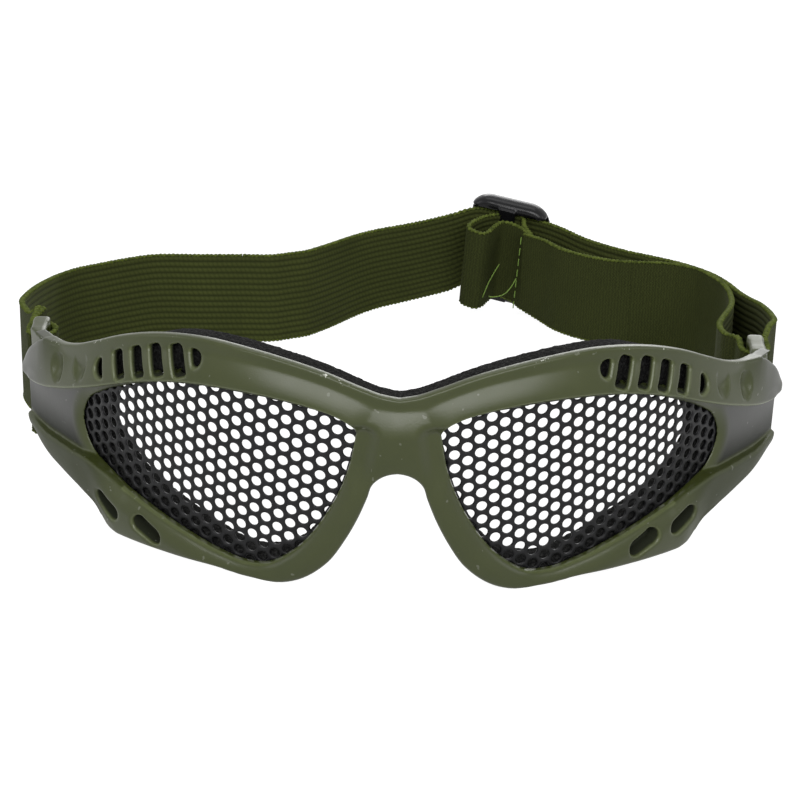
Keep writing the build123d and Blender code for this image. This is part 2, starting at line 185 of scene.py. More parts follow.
# Mesh lenses: how far the rows of holes rise towards the side, their pitch and where they start
LENS_BACK = -1.45
LENS_THICKNESS = 0.6
LENS_MARGIN = 1.9
HOLE_RADIUS = 1.12
HOLE_BEVEL = 0.11
HOLE_BEVEL_DEPTH = 0.10
HOLE_POINTS = 18
HOLE_ROWS = {1: (radians(3.5), 3.03, -0.04, 0.56), -1: (radians(4.5), 3.07, -0.94, 0.17)}

# Foam
FOAM_FRONT = -1.75
FOAM_DEPTH = 5.6
FOAM_INSET = 1.0
FOAM_SIDE_INSET = 1.8
FOAM_HALF_WIDTH = 71.1
FOAM_ROUNDING = 1.6
FOAM_NAP = 0.045
FOAM_GRID = 0.6

# Slider, on the table behind the head
SLIDER_MIDDLE = (28.2, 215.3, 18.4)
SLIDER_TIP = radians(13.0)
SLIDER_YAW = radians(20.0)
SLIDER_ROLL = radians(8.0)
SLIDER_LENGTH = 24.5
SLIDER_HEIGHT = 32.6
SLIDER_FRONT = -3.2
SLIDER_BACK = 2.4
SLIDER_CORNER = 6.5
SLIDER_RAIL = 2.9
SLIDER_END = 3.5
SLIDER_BAR_HALF = 2.5
SLIDER_BAR_THICKNESS = 1.5
SLIDER_GRID = 0.4
SLOT_DROP = 0.4
END_LOOP = [(.37, -.43), (.19, -.31), (.03, -.29), (-.13, -.68), (-.285, -.64),
            (-.215, -.26), (.171, -.062), (.257, -.261), (.39, -.43)]

# Threads
THREAD_RADIUS = 0.16
STITCH_HALF = 1.1
LOOSE_ENDS = [[(.295, -.50, -1.5), (.25, -.56, -5.5), (.10, -.60, -8.0), (.02, -.60, -8.0)],
              [(.08, -.52, 2.0), (.03, -.55, -1.0), (-.02, -.60, -5.0), (-.05, -.62, -8.5)]]

# Camera: where the photograph was taken from
CAMERA_PLACE = (3.18, -519.8, 175.5)
CAMERA_PITCH = radians(18.0)
CAMERA_YAW = radians(0.43)
CAMERA_ROLL = radians(1.36)
FOCAL_PIXELS = 2224.0
PHOTO_WIDTH = 800.0
SENSOR_WIDTH = 36.0

# Lamps: where each hangs, where it points, its width and depth in metres, and its watts
LAMPS = {"top_softbox": ((0.0, 0.10, 0.85), (0, -0.02, 0.02), (0.7, 0.45), 1.8),
         "front_softbox": ((0.0, -1.03, 0.53), (0, 0, 0.03), (1.3, 0.34), 10.4),
         "right_softbox": ((1.15, -0.30, 0.45), (0, 0, 0.03), (0.5, 0.6), 1.6),
         "left_softbox": ((-1.15, -0.30, 0.45), (0, 0, 0.03), (0.5, 0.6), 1.6),
         "back_fill": ((0.2, 1.15, 0.60), (0, 0, 0.02), (0.8, 0.5), 5.0)}
FLOOR_HALF = 6.0


def ramp(value, low, high):
    """0 up to low and 1 from high on, smooth between them."""
    t = np.clip((value - low) / (high - low), 0, 1)
    return t * t * (3 - 2 * t)


def round_max(a, b, radius):
    """The larger of two fields, with the corner between them rounded."""
    near = np.maximum(radius - np.abs(a - b), 0)
    return np.maximum(a, b) + near * near / (4 * radius)


def round_min(a, b, radius):
    return -round_max(-a, -b, radius)


def wrapped(arc, off):
    """Plan position of a place on the wrap surface: so far round it from the middle, so far off it."""
    side = np.sign(arc)
    along = np.abs(arc)
    on_temple = along > HANDOVER_ARC
    angle = np.where(on_temple, HANDOVER_ANGLE + (along - HANDOVER_ARC) / TEMPLE_RADIUS, along / WRAP_RADIUS)
    radius = np.where(on_temple, TEMPLE_RADIUS, WRAP_RADIUS) + off
    x = np.where(on_temple, TEMPLE_X, 0) + radius * np.sin(angle)
    y = np.where(on_temple, TEMPLE_Y, WRAP_RADIUS) - radius * np.cos(angle)
    return side * x, y


def arc_at(x, off=0.0):
    """How far round the wrap surface a place is that has this x in the front view."""
    if abs(x) <= (WRAP_RADIUS + off) * sin(HANDOVER_ANGLE):
        return WRAP_RADIUS * asin(x / (WRAP_RADIUS + off))
    angle = asin((abs(x) - TEMPLE_X) / (TEMPLE_RADIUS + off))
    return (HANDOVER_ARC + TEMPLE_RADIUS * (angle - HANDOVER_ANGLE)) * (1 if x > 0 else -1)


def stood(x, y, z):
    """Metres in the row frame for a place in the frame's own axes."""
    height = z - PIVOT_HEIGHT
    along = y * cos(LEAN) - height * sin(LEAN) - MIDDLE_Y
    up = PIVOT_HEIGHT + y * sin(LEAN) + height * cos(LEAN) + FRAME_LIFT
    return np.stack([x, along, up], -1) * MM


def spline(points, per_span=8, closed=False):
    """A smooth curve through points of any dimension."""
    p = np.array(points, float)
    if closed:
        p = np.vstack([p[-1], p, p[0], p[1]])
    else:
        p = np.vstack([2 * p[0] - p[1], p, 2 * p[-1] - p[-2]])
    t = np.linspace(0, 1, per_span, endpoint=False)[:, None]
    out = []
    for a, b, c, d in zip(p, p[1:], p[2:], p[3:]):
        span = max(np.linalg.norm(c - b), 1e-9)
        before = max(np.linalg.norm(b - a), 1e-9)
        after = max(np.linalg.norm(d - c), 1e-9)
        first = span * ((b - a) / before * span + (c - b) / span * before) / (before + span)
        last = span * ((c - b) / span * after + (d - c) / after * span) / (span + after)
        out.append((2 * t ** 3 - 3 * t ** 2 + 1) * b + (t ** 3 - 2 * t ** 2 + t) * first
                   + (3 * t ** 2 - 2 * t ** 3) * c + (t ** 3 - t ** 2) * last)
    curve = np.vstack(out)
    return curve if closed else np.vstack([curve, p[-2]])


def developed(shares, off=0.0):
    """Shares of the front view as places on the unrolled wrap surface."""
    return [(arc_at(a * HALF_WIDTH, off), b * HEIGHT) for a, b in shares]


def outline(*curves):
    """Curves, each a list of shares and its distance off the wrap surface, joined into one line."""
    spans = []
    for shares, off in curves:
        places = developed(shares, off)
        spans.append(spline(places) if len(places) > 2 else np.array(places))
    return np.vstack([span[:-1] for span in spans] + [spans[-1][-1:]])


def both_sides(half):
    """A half outline that starts and ends on the middle line, made whole."""
    return np.vstack([half, half[-2:0:-1] * (-1, 1)])


def line_distance(line, a, h, closed=False):
    """Distance from each place to a line, or to a ring."""
    ends = np.vstack([line, line[:1]]) if closed else line
    best = np.full(a.shape, 1e9)
    for (x0, y0), (x1, y1) in zip(ends, ends[1:]):
        dx, dy = x1 - x0, y1 - y0
        t = np.clip(((a - x0) * dx + (h - y0) * dy) / (dx * dx + dy * dy + 1e-12), 0, 1)
        best = np.minimum(best, (a - x0 - t * dx) ** 2 + (h - y0 - t * dy) ** 2)
    return np.sqrt(best)


def inside_of(line, a, h):
    """Which places a ring goes round, by counting how often it is crossed to one side of each."""
    ends = np.vstack([line, line[:1]])
    odd = np.zeros(a.shape, bool)
    for (x0, y0), (x1, y1) in zip(ends, ends[1:]):
        if y0 == y1:
            continue
        crosses = (h >= min(y0, y1)) & (h < max(y0, y1))
        odd ^= crosses & (a < x0 + (h - y0) * (x1 - x0) / (y1 - y0))
    return odd


def signed(line, a, h):
    """Distance to a closed outline, negative inside."""
    distance = line_distance(line, a, h, closed=True)
    return np.where(inside_of(line, a, h), -distance, distance)


def rounded_box(past, corner):
    """Distance to a box with rounded corners, from how far past its faces a place is along each axis."""
    past = [axis + corner for axis in past]
    outside = np.sqrt(sum(np.maximum(axis, 0) ** 2 for axis in past))
    return outside + np.minimum(np.max(past, 0), 0) - corner


def slot_field(a, h, centre, tilt, length, width, corner):
    """Distance to a rounded slot, its long axis turned clockwise from upright by tilt."""
    da, dh = a - centre[0], h - centre[1]
    along = np.abs(da * sin(tilt) + dh * cos(tilt)) - length / 2
    across = np.abs(da * cos(tilt) - dh * sin(tilt)) - width / 2
    return rounded_box((along, across), corner)


def moon_field(a, h, top, bottom, width, way):
    """Distance to a half moon whose straight side runs from top to bottom."""
    top, bottom = np.array(top), np.array(bottom)
    length = np.linalg.norm(top - bottom)
    up = (top - bottom) / length
    out = np.array([up[1], -up[0]]) * way
    radius = (length ** 2 / 4 + width ** 2) / (2 * width)
    da, dh = a - (top[0] + bottom[0]) / 2, h - (top[1] + bottom[1]) / 2
    bulge = da * out[0] + dh * out[1]
    along = da * up[0] + dh * up[1]
    disc = np.hypot(bulge - width + radius, along) - radius
    return round_max(disc, -bulge, 0.8)


def surface_net(field):
    """Vertices, in cells of the grid, and quads of the surface where the field crosses zero."""
    inside = field < 0
    shape = tuple(n - 1 for n in field.shape)
    corners = list(product((0, 1), repeat=3))
    count = np.zeros(shape, np.int8)
    for i, j, k in corners:
        count += inside[i:shape[0] + i, j:shape[1] + j, k:shape[2] + k]
    cells = np.argwhere((count > 0) & (count < 8))
    values = np.stack([field[cells[:, 0] + i, cells[:, 1] + j, cells[:, 2] + k] for i, j, k in corners], 1)
    total = np.zeros((len(cells), 3))
    hits = np.zeros(len(cells))
    for a, b in product(range(8), repeat=2):
        step = np.array(corners[b]) - np.array(corners[a])
        if sorted(step) != [0, 0, 1]:
            continue
        va, vb = values[:, a], values[:, b]
        cross = (va < 0) != (vb < 0)
        t = va / np.where(cross, va - vb, 1)
        total += np.where(cross[:, None], np.array(corners[a]) + t[:, None] * step, 0)
        hits += cross
    vertices = cells + total / hits[:, None]
    number = np.full(shape, -1, np.int64)
    number[tuple(cells.T)] = np.arange(len(cells))
    quads = []
    for axis in range(3):
        low = [slice(None)] * 3
        high = [slice(None)] * 3
        low[axis], high[axis] = slice(0, -1), slice(1, None)
        change = inside[tuple(low)] != inside[tuple(high)]
        at = np.argwhere(change)
        others = [n for n in range(3) if n != axis]
        keep = np.all([(at[:, n] > 0) & (at[:, n] < field.shape[n] - 1) for n in others], 0)
        at = at[keep]
        ring = []
        for p, q in ((-1, -1), (0, -1), (0, 0), (-1, 0)):
            cell = at.copy()
            cell[:, others[0]] += p
            cell[:, others[1]] += q
            ring.append(number[tuple(cell.T)])
        ring = np.stack(ring, 1)
        flip = inside[tuple(at.T)] if axis != 1 else ~inside[tuple(at.T)]
        ring[~flip] = ring[~flip][:, ::-1]
        quads.append(ring)
    return vertices, np.vstack(quads)


def relaxed(points, quads, rounds):
    """Points smoothed along the mesh's edges, with no loss of volume."""
    first, second = np.vstack([quads[:, [i, (i + 1) % 4]] for i in range(4)]).T
    count = len(points)
    degree = np.bincount(first, minlength=count) + np.bincount(second, minlength=count)
    for share in (0.5, -0.53) * rounds:
        mean = np.stack([np.bincount(first, values[second], count) + np.bincount(second, values[first], count)
                         for values in points.T], 1)
        points = points + share * (mean / degree[:, None] - points)
    return points


def mesh_piece(name, points, faces, materials, body, replaced=(), attributes=None,
               face_material=None, uv=None):
    """A smooth mesh object that rides on a body."""
    mesh = bpy.data.meshes.new(name)
    faces = np.asarray(faces)
    mesh.vertices.add(len(points))
    mesh.vertices.foreach_set("co", np.asarray(points, np.float32).ravel())
    mesh.loops.add(faces.size)
    mesh.loops.foreach_set("vertex_index", faces.ravel().astype(np.int32))
    mesh.polygons.add(len(faces))
    mesh.polygons.foreach_set("loop_start", np.arange(len(faces), dtype=np.int32) * faces.shape[1])
    if face_material is not None:
        mesh.polygons.foreach_set("material_index", np.asarray(face_material, np.int32))
    mesh.update(calc_edges=True)
    mesh.validate()
    mesh.shade_smooth()
    for key, values in (attributes or {}).items():
        mesh.attributes.new(key, "FLOAT", "POINT").data.foreach_set("value", np.asarray(values, np.float32))
    if uv is not None:
        layer = mesh.uv_layers.new(name="UVMap")
        order = np.empty(len(mesh.loops), np.int32)
        mesh.loops.foreach_get("vertex_index", order)
        layer.data.foreach_set("uv", np.asarray(uv, np.float32)[order].ravel())
    piece = bpy.data.objects.new(name, mesh)
    bpy.context.scene.collection.objects.link(piece)
    for material in materials:
        mesh.materials.append(material)
    if body:
        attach(piece, body)
    if replaced:
        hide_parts(*replaced)
    return piece


# Materials

class Nodes:
    """Short calls for building a node tree."""

    def __init__(self, tree):
        self.tree = tree

    def add(self, kind, inputs=None, **settings):
        node = self.tree.nodes.new(kind)
        for key, value in settings.items():
            setattr(node, key, value)
        for key, value in (inputs or {}).items():
            self.put(value, node.inputs[key])
        return node

    def put(self, value, socket):
        """Links a socket, or sets a number or a colour of red, green and blue."""
        if isinstance(value, bpy.types.NodeSocket):
            self.tree.links.new(value, socket)
        else:
            socket.default_value = (*value, 1.0) if isinstance(value, tuple) else value

    def attribute(self, name):
        return self.add("ShaderNodeAttribute", attribute_name=name).outputs["Fac"]

    def math(self, operation, *values):
        node = self.add("ShaderNodeMath", operation=operation)
        for socket, value in zip(node.inputs, values):
            self.put(value, socket)
        return node.outputs[0]

    def plus(self, a, b):
        return self.math("ADD", a, b)

    def times(self, a, b):
        return self.math("MULTIPLY", a, b)

    def larger(self, a, b):
        return self.math("MAXIMUM", a, b)

    def humps(self, turns):
        """A row of round humps, one for each whole number."""
        return self.math("ABSOLUTE", self.math("SINE", self.times(turns, pi)))

    def mix(self, share, a, b):
        node = self.add("ShaderNodeMix", data_type="RGBA")
        for index, value in ((0, share), (6, a), (7, b)):
            self.put(value, node.inputs[index])
        return node.outputs[2]

    def noise(self, scale, detail=3.0, rough=0.5, vector=None):
        if vector is None:
            vector = self.add("ShaderNodeTexCoord").outputs["Object"]
        inputs = {"Vector": vector, "Scale": scale, "Detail": detail, "Roughness": rough}
        return self.add("ShaderNodeTexNoise", inputs).outputs["Fac"]

    def range(self, value, low, high, to_low=0.0, to_high=1.0):
        node = self.add("ShaderNodeMapRange", clamp=True)
        for socket, v in zip(node.inputs, (value, low, high, to_low, to_high)):
            self.put(v, socket)
        return node.outputs[0]

    def bump(self, height, distance, strength, normal=None):
        node = self.add("ShaderNodeBump", {"Height": height, "Distance": distance, "Strength": strength})
        if normal is not None:
            self.put(normal, node.inputs["Normal"])
        return node.outputs["Normal"]

    def seen_plainly(self):
        """1 for rays that show what they meet, straight, off a gloss or through a clear thing."""
        rays = self.add("ShaderNodeLightPath").outputs
        seen = self.larger(rays["Is Camera Ray"], rays["Is Glossy Ray"])
        return self.larger(seen, rays["Is Transmission Ray"])


class Material(Nodes):
    """Short calls for building a node material."""

    def __init__(self, name):
        self.material = bpy.data.materials.new(name)
        self.material.use_nodes = True
        super().__init__(self.material.node_tree)
        self.shader = self.tree.nodes["Principled BSDF"]

    def set(self, **values):
        for key, value in values.items():
            self.put(value, self.shader.inputs[key.replace("_", " ")])


def frame_material():
    """Satin olive plastic with a painted reflection that turns its side walls and wing ends greyer, painted
    highlights along its edges, painted shade in its slots, on its flange and low on its side walls, and worn
    specks along its parting line.
    """
    n = Material("moulded_olive_plastic")
    mottle = n.noise(90.0, 4.0, 0.6)
    olive = n.mix(n.range(mottle, 0.3, 0.7), (.035, .044, .009), (.042, .051, .012))
    # Painted reflection: side walls and wing ends turn greyer, standing in for the bright surroundings they
    # mirror.
    painted_reflection = n.mix(n.attribute("painted_reflection"), olive, (.024, .025, .021))
    flecks = n.range(n.noise(1500.0, 2.0, 0.7), 0.60, 0.66)
    stretch = n.range(n.noise(160.0, 2.0, 0.5), 0.52, 0.62)
    worn = n.times(n.times(n.attribute("parting"), flecks), stretch)
    specks = n.range(n.noise(700.0, 1.0, 0.4), 0.745, 0.77)
    worn = n.larger(worn, n.times(specks, 0.12))
    # Painted highlight: lighter olive along the brow's lower edge, round the vents and lower slots, and along
    # the lens's lower edge.
    edge = n.mix(n.times(n.attribute("painted_edge_highlight"), 0.55), painted_reflection, (.19, .22, .10))
    # Painted shade: near black inside the vents and slots, on the flange and low on the side wall by its
    # crease.
    dim = n.mix(n.times(n.attribute("shade"), 0.9), edge, (.006, .008, .003))
    n.set(Base_Color=n.mix(worn, dim, (.62, .63, .56)))
    satin = n.range(n.noise(60.0, 4.0, 0.6), 0.3, 0.7, 0.29, 0.37)
    n.set(Roughness=n.plus(satin, n.times(n.attribute("shade"), 0.5)), Specular_IOR_Level=0.38)
    grain = n.bump(n.noise(2600.0, 2.0, 0.6), 0.00004, 0.35)
    n.set(Normal=n.bump(n.noise(60.0, 3.0, 0.5), 0.0006, 0.12, grain))
    return n.material


def mesh_material():
    """Black satin coat on the perforated steel."""
    n = Material("black_coated_mesh")
    n.set(Base_Color=n.mix(n.noise(300.0), (.004, .004, .0045), (.010, .010, .011)))
    n.set(Roughness=n.range(n.noise(500.0, 3.0), 0.3, 0.7, 0.34, 0.50), Specular_IOR_Level=0.22)
    n.set(Normal=n.bump(n.noise(1800.0, 3.0, 0.6), 0.00005, 0.5))
    return n.material


def foam_material():
    """Black foam with a short nap."""
    n = Material("black_foam")
    speck = n.noise(1700.0, 4.0, 0.75)
    n.set(Base_Color=n.mix(n.range(speck, 0.45, 0.75), (.006, .006, .006), (.050, .050, .048)))
    n.set(Roughness=0.95, Specular_IOR_Level=0.1, Normal=n.bump(speck, 0.0005, 0.9))
    return n.material


def webbing_material():
    """Olive elastic: ribs with a rope-like twist on one face, a plain knit on the other, and painted shade in
    the hollows between ribs and knit loops.
    """
    twist_length, wale_width, course_length = 1.3, 0.95, 0.82
    n = Material("olive_elastic")
    place = n.add("ShaderNodeUVMap", uv_map="UVMap").outputs["UV"]
    along, across = n.add("ShaderNodeSeparateXYZ", {"Vector": place}).outputs[:2]
    plain = n.attribute("plain")
    rib = n.times(across, RIBS / STRAP_WIDTH)
    jog = n.times(n.math("SINE", n.times(n.math("FLOOR", rib), 12.9)), 4.1)
    twist = n.plus(n.times(along, 1 / twist_length), n.plus(n.times(rib, 0.5), jog))
    twist = n.plus(twist, n.times(n.noise(0.35, 2.0, 0.5, place), 0.6))
    ribbed = n.times(n.humps(rib), n.plus(n.times(n.humps(twist), 0.42), 0.58))
    wale = n.math("SINE", n.times(across, 2 * pi / wale_width))
    sway = n.plus(n.times(wale, 1.1), n.times(n.noise(0.8, 2.0, 0.5, place), 9.0))
    course = n.math("SINE", n.plus(n.times(along, 2 * pi / course_length), sway))
    knit = n.plus(n.times(n.times(wale, course), 0.35), 0.5)
    knit = n.plus(knit, n.times(n.noise(2.6, 3.0, 0.7, place), 0.45))
    height = n.mix(plain, ribbed, knit)
    fibre = n.noise(5.0, 3.0, 0.7, place)
    lift = n.mix(plain, (.30, .30, .30), (.08, .08, .08))
    # Painted shade: the colour darkens with the weave's height, into the hollows between ribs and knit loops;
    # the fibre noise is the yarn's own uneven tone.
    shade = n.plus(n.plus(n.times(height, 0.48), n.times(fibre, 0.35)), lift)
    body = n.mix(n.range(shade, 0.25, 0.95), (.009, .011, .004), (.060, .072, .018))
    tone = n.range(n.noise(0.06, 3.0, 0.5, place), 0.3, 0.7, 0.0, 0.3)
    n.set(Base_Color=n.mix(tone, body, (.024, .029, .008)), Roughness=0.85, Specular_IOR_Level=0.1)
    n.set(Normal=n.bump(n.plus(height, n.times(fibre, 0.4)), 0.0002, 0.8))
    return n.material


def edging_material():
    """The brighter looped yarn along the webbing's edges."""
    n = Material("looped_yarn")
    tint = n.noise(900.0, 3.0, 0.6)
    n.set(Base_Color=n.mix(n.range(tint, 0.35, 0.65), (.045, .060, .011), (.115, .145, .028)))
    n.set(Roughness=0.8, Specular_IOR_Level=0.1, Normal=n.bump(tint, 0.0002, 0.7))
    return n.material


def slider_material():
    """Glossy black plastic."""
    n = Material("gloss_black_plastic")
    n.set(Base_Color=n.mix(n.noise(200.0), (.003, .003, .0035), (.007, .007, .008)))
    n.set(Roughness=n.range(n.noise(400.0, 3.0), 0.3, 0.7, 0.20, 0.30), Specular_IOR_Level=0.22)
    n.set(Normal=n.bump(n.noise(900.0, 2.0), 0.00005, 0.4))
    return n.material


def thread_material():
    """Bright green sewing thread."""
    n = Material("sewing_thread")
    n.set(Base_Color=n.mix(n.noise(2500.0), (.10, .19, .02), (.22, .34, .06)))
    n.set(Roughness=0.6, Normal=n.bump(n.noise(6000.0), 0.0001, 0.6))
    return n.material


# The frame

def mirrored(half):
    """A field known for the right half, along its first axis, made whole."""
    return np.concatenate([half[:0:-1], half])


def vent_field(a, h):
    """Distance to the nearest vent in the brow: a slanted slot, or the half moon at either end."""
    field = np.full(a.shape, FAR)
    for top, bottom in VENTS:
        ends = np.array(developed([top, bottom], VENT_OFF))
        rise = ends[0] - ends[1]
        tilt, length = np.arctan2(*rise), np.linalg.norm(rise)
        field = np.minimum(field, slot_field(a, h, ends.mean(0), tilt, length, VENT_WIDTH, VENT_CORNER))
    for top, bottom, width, way in MOONS:
        field = np.minimum(field, moon_field(a, h, *developed([top, bottom], VENT_OFF), width, way))
    return field


def dimple_field(a, h):
    """How deep each place lies in a dimple, from 0 outside to 1 in the middle."""
    deepest = np.zeros(a.shape)
    for centre, across, along in DIMPLES:
        middle_a, middle_h = developed([centre], DIMPLE_OFF)[0]
        da, dh = a - middle_a, h - middle_h
        radius = np.hypot((da - DIMPLE_SLANT * dh) / across, dh / along)
        deepest = np.maximum(deepest, np.clip(1 - radius ** 2, 0, 1))
    return deepest


def lower_slot_field(a, h, side):
    """Distance to the nearest lower slot of one side."""
    field = np.full(a.shape, FAR)
    for middle in developed(LOWER_SLOT_CENTRES[side], LOWER_SLOT_OFF):
        slot = slot_field(a, h, middle, pi / 2 - LOWER_SLOT_TILT, LOWER_SLOT_LENGTH, LOWER_SLOT_WIDTH,
                          LOWER_SLOT_WIDTH / 2 - 0.01)
        field = np.minimum(field, slot)
    return field


def brow_fields(a, h, arcs):
    """What lies above the ridge, what belongs to the brow, how far its face falls, and its top's distance."""
    ridge = outline((RIDGE_START, RIM_FACE), (BROW_EDGE, RIM_FACE))
    over = h - np.interp(arcs, ridge[:, 0], ridge[:, 1])[:, None]
    from_ridge = line_distance(ridge, a, h)
    from_top = line_distance(outline(*TOP), a, h)
    share = from_ridge / (from_ridge + from_top + 1e-6)
    wing = ramp(a, arc_at(.84 * HALF_WIDTH, 2), arc_at(.94 * HALF_WIDTH, 2))
    fall = (RIM_FACE - BROW_TOP_FACE) * share ** BROW_CURVE * (1 - WING_FLATNESS * wing)
    return ramp(over, -0.6, 0.6), ramp(over, -1.8, -1.1), fall, from_top


def front_face(a, h, edge, window, lens, above, brow_fall):
    """How far off the wrap surface the front face stands, from the distances to the three outlines."""
    low_side = ramp(a, arc_at(.70 * HALF_WIDTH), arc_at(.78 * HALF_WIDTH))
    bevel = (1 - np.clip(lens / LENS_BEVEL_WIDTH, 0, 1)) ** LENS_BEVEL_CURVE
    lens_fall = (RIM_FACE - LENS_EDGE_FACE) * bevel * (1 - above) * (1 - low_side)
    nose = ramp(h / HEIGHT, .38, .60) * ramp(-a, -16.0, -11.5)
    dish = NOSE_DISH_DEPTH * nose * ramp(NOSE_DISH_WIDTH - lens, 0.0, 3.4)
    dish = dish * (1 - ramp(h / HEIGHT, .70, .76))
    slope = FLANGE_SLOPE * np.clip(window, 0, FLANGE_SLOPE_WIDTH) * low_side
    flange_fall = (slope + FLANGE_END_FALL * ramp(a, 88, 101)) * (1 - above)
    bottom_fall = BOTTOM_FALL * np.clip(1 + edge / BOTTOM_FALL_WIDTH, 0, 1) ** 2 * (1 - above)
    face = RIM_FACE - above * brow_fall - np.maximum(lens_fall, dish) - flange_fall - bottom_fall
    return face - DIMPLE_DEPTH * dimple_field(a, h)


def moulding(o, edge, window, lens, face, wall_face, above, vents, slots):
    """Distance field of the moulding; o is how far off the wrap surface, the rest are flat fields.

    The last number of each rounded join or cut is its radius.
    """
    front = round_min(round_max(-window, o - face, 1.0), o - wall_face, 0.35)
    body = round_max(round_max(front, BACK - o, 0.4), edge, 0.8)
    past_rim = np.where(window < 0, -FAR, SHELL - window)
    hollow = np.maximum(np.maximum(edge + EDGE_WALL, past_rim), o - face + SHELL)
    hollow = np.where(above > 0.5, hollow, FAR)
    deepest = np.where(o < 0, -FAR, BACK - 0.2 - o)
    body = np.maximum(body, -np.maximum(hollow, deepest))
    body = round_max(body, -lens, 0.5)
    body = np.maximum(body, -np.maximum(lens - POCKET_MARGIN, o - POCKET_FACE))
    body = round_max(body, -vents, 0.7)
    return round_max(body, -np.maximum(slots, SLOT_FLOOR - o), 0.8)


def frame_field():
    """The moulded frame on a grid of (round the wrap, off it, up), and the flat fields that colour it."""
    arcs = np.arange(0, 108, GRID)
    ups = np.arange(-1.5, HEIGHT + 1.6, GRID)
    offs = np.arange(BACK - 1.0, RIM_FACE + 1.0, GRID)
    a, h = np.meshgrid(arcs, ups, indexing="ij")
    edge = signed(both_sides(outline(*SILHOUETTE)), a, h)
    window = signed(outline(*WINDOW), a, h)
    lens = signed(outline(*LENS), a, h)
    above, brow, brow_fall, from_top = brow_fields(a, h, arcs)
    face = front_face(a, h, edge, window, lens, above, brow_fall)
    wall_face = WALL_FACE - FUNNEL_DEPTH * (1 - np.clip(lens / FUNNEL_WIDTH, 0, 1)) ** 2
    vents = vent_field(a, h)
    slots = np.concatenate([lower_slot_field(a, h, -1)[:0:-1], lower_slot_field(a, h, 1)])
    whole = [mirrored(half)[:, None, :] for half in (edge, window, lens, face, wall_face, above, vents)]
    body = moulding(offs[None, :, None], *whole, slots[:, None, :])
    flange = ramp(a, 62, 72) * (1 - brow) * ramp(window, -0.2, 0.8)
    low_wall = 1 - ramp(line_distance(outline(*WINDOW_LOW), a, h), 0.0, 9.0)
    looks = {"window": window, "lens": lens, "above": above, "top": from_top, "brow": brow, "face": face,
             "flange": flange, "low_wall": low_wall}
    looks = {key: mirrored(half) for key, half in looks.items()}
    looks["holes"] = np.minimum(mirrored(vents), slots)
    return body.astype(np.float32), (np.concatenate([-arcs[:0:-1], arcs]), offs, ups), looks


def looked_up(grid_values, cells):
    """A flat field's values at the mesh's vertices, between the grid's lines."""
    u = np.clip(cells[:, 0], 0, grid_values.shape[0] - 1.001)
    v = np.clip(cells[:, 2], 0, grid_values.shape[1] - 1.001)
    i, k = u.astype(int), v.astype(int)
    s, t = u - i, v - k
    low = grid_values[i, k] * (1 - s) + grid_values[i + 1, k] * s
    high = grid_values[i, k + 1] * (1 - s) + grid_values[i + 1, k + 1] * s
    return low * (1 - t) + high * t


def wrapped_net(field, grids, step):
    """Smoothed points and quads of a field over the wrap surface, and where its cells lie."""
    cells, quads = surface_net(field)
    arc, off, up = (grid[0] + cells[:, n] * step for n, grid in enumerate(grids))
    return relaxed(np.stack([*wrapped(arc, off), up], 1), quads, 2), quads, cells, arc, off


def frame_colours(arc, off, at):
    """What tells the frame's material where it gets a greyer painted reflection, worn specks, painted
    highlights along its edges and painted shade.
    """
    # Painted reflection on the side walls and on the wing ends above the ridge, which turns them greyer.
    wall = ramp(-at["window"], 0.0, 1.2) * ramp(at["lens"], 1.0, 4.5) * ramp(arc, 60, 72)
    painted_reflection = np.maximum(wall, at["above"] * ramp(arc, 82, 96) * 0.7)
    parting = ramp(0.7 - at["top"], 0, 0.35) * (off < 1.4)
    # Painted highlights along the brow's lower edge, round the vents and lower slots, and along the lens's
    # lower edge.
    brow_edge_highlight = ramp(0.75 - np.abs(at["window"]), 0, 0.4) * (off > 1.3) * at["brow"]
    holes = ramp(0.55 - np.abs(at["holes"]), 0, 0.35) * (off > at["face"] - 0.9)
    lens_edge_highlight = ramp(0.5 - np.abs(at["lens"]), 0, 0.3) * (off > 0.4) * (1 - at["above"]) * (arc < 62)
    # Painted shade inside the vents and slots, on the flange, and on the side wall along its crease with the
    # flange.
    painted_hole_shade = ramp(0.45 - at["holes"], 0, 0.5) * ramp(at["face"] - 0.3 - off, 0, 0.8)
    shade = painted_hole_shade + 0.6 * at["flange"] * (off > 0.3) + 0.6 * wall * at["low_wall"]
    return {"painted_reflection": painted_reflection, "parting": parting, "painted_edge_highlight": np.clip(brow_edge_highlight + 0.5 * holes + lens_edge_highlight * 0.8, 0, 1),
            "shade": np.clip(shade, 0, 1)}


def build_frame(material):
    field, grids, looks = frame_field()
    points, quads, cells, arc, off = wrapped_net(field, grids, GRID)
    places = stood(*points.T)
    places[:, 2] = np.maximum(places[:, 2], 0)
    at = {key: looked_up(values, cells) for key, values in looks.items()}
    return mesh_piece("frame_moulding", places, quads, [material], "goggles", ["frame"],
                      frame_colours(np.abs(arc), off, at))


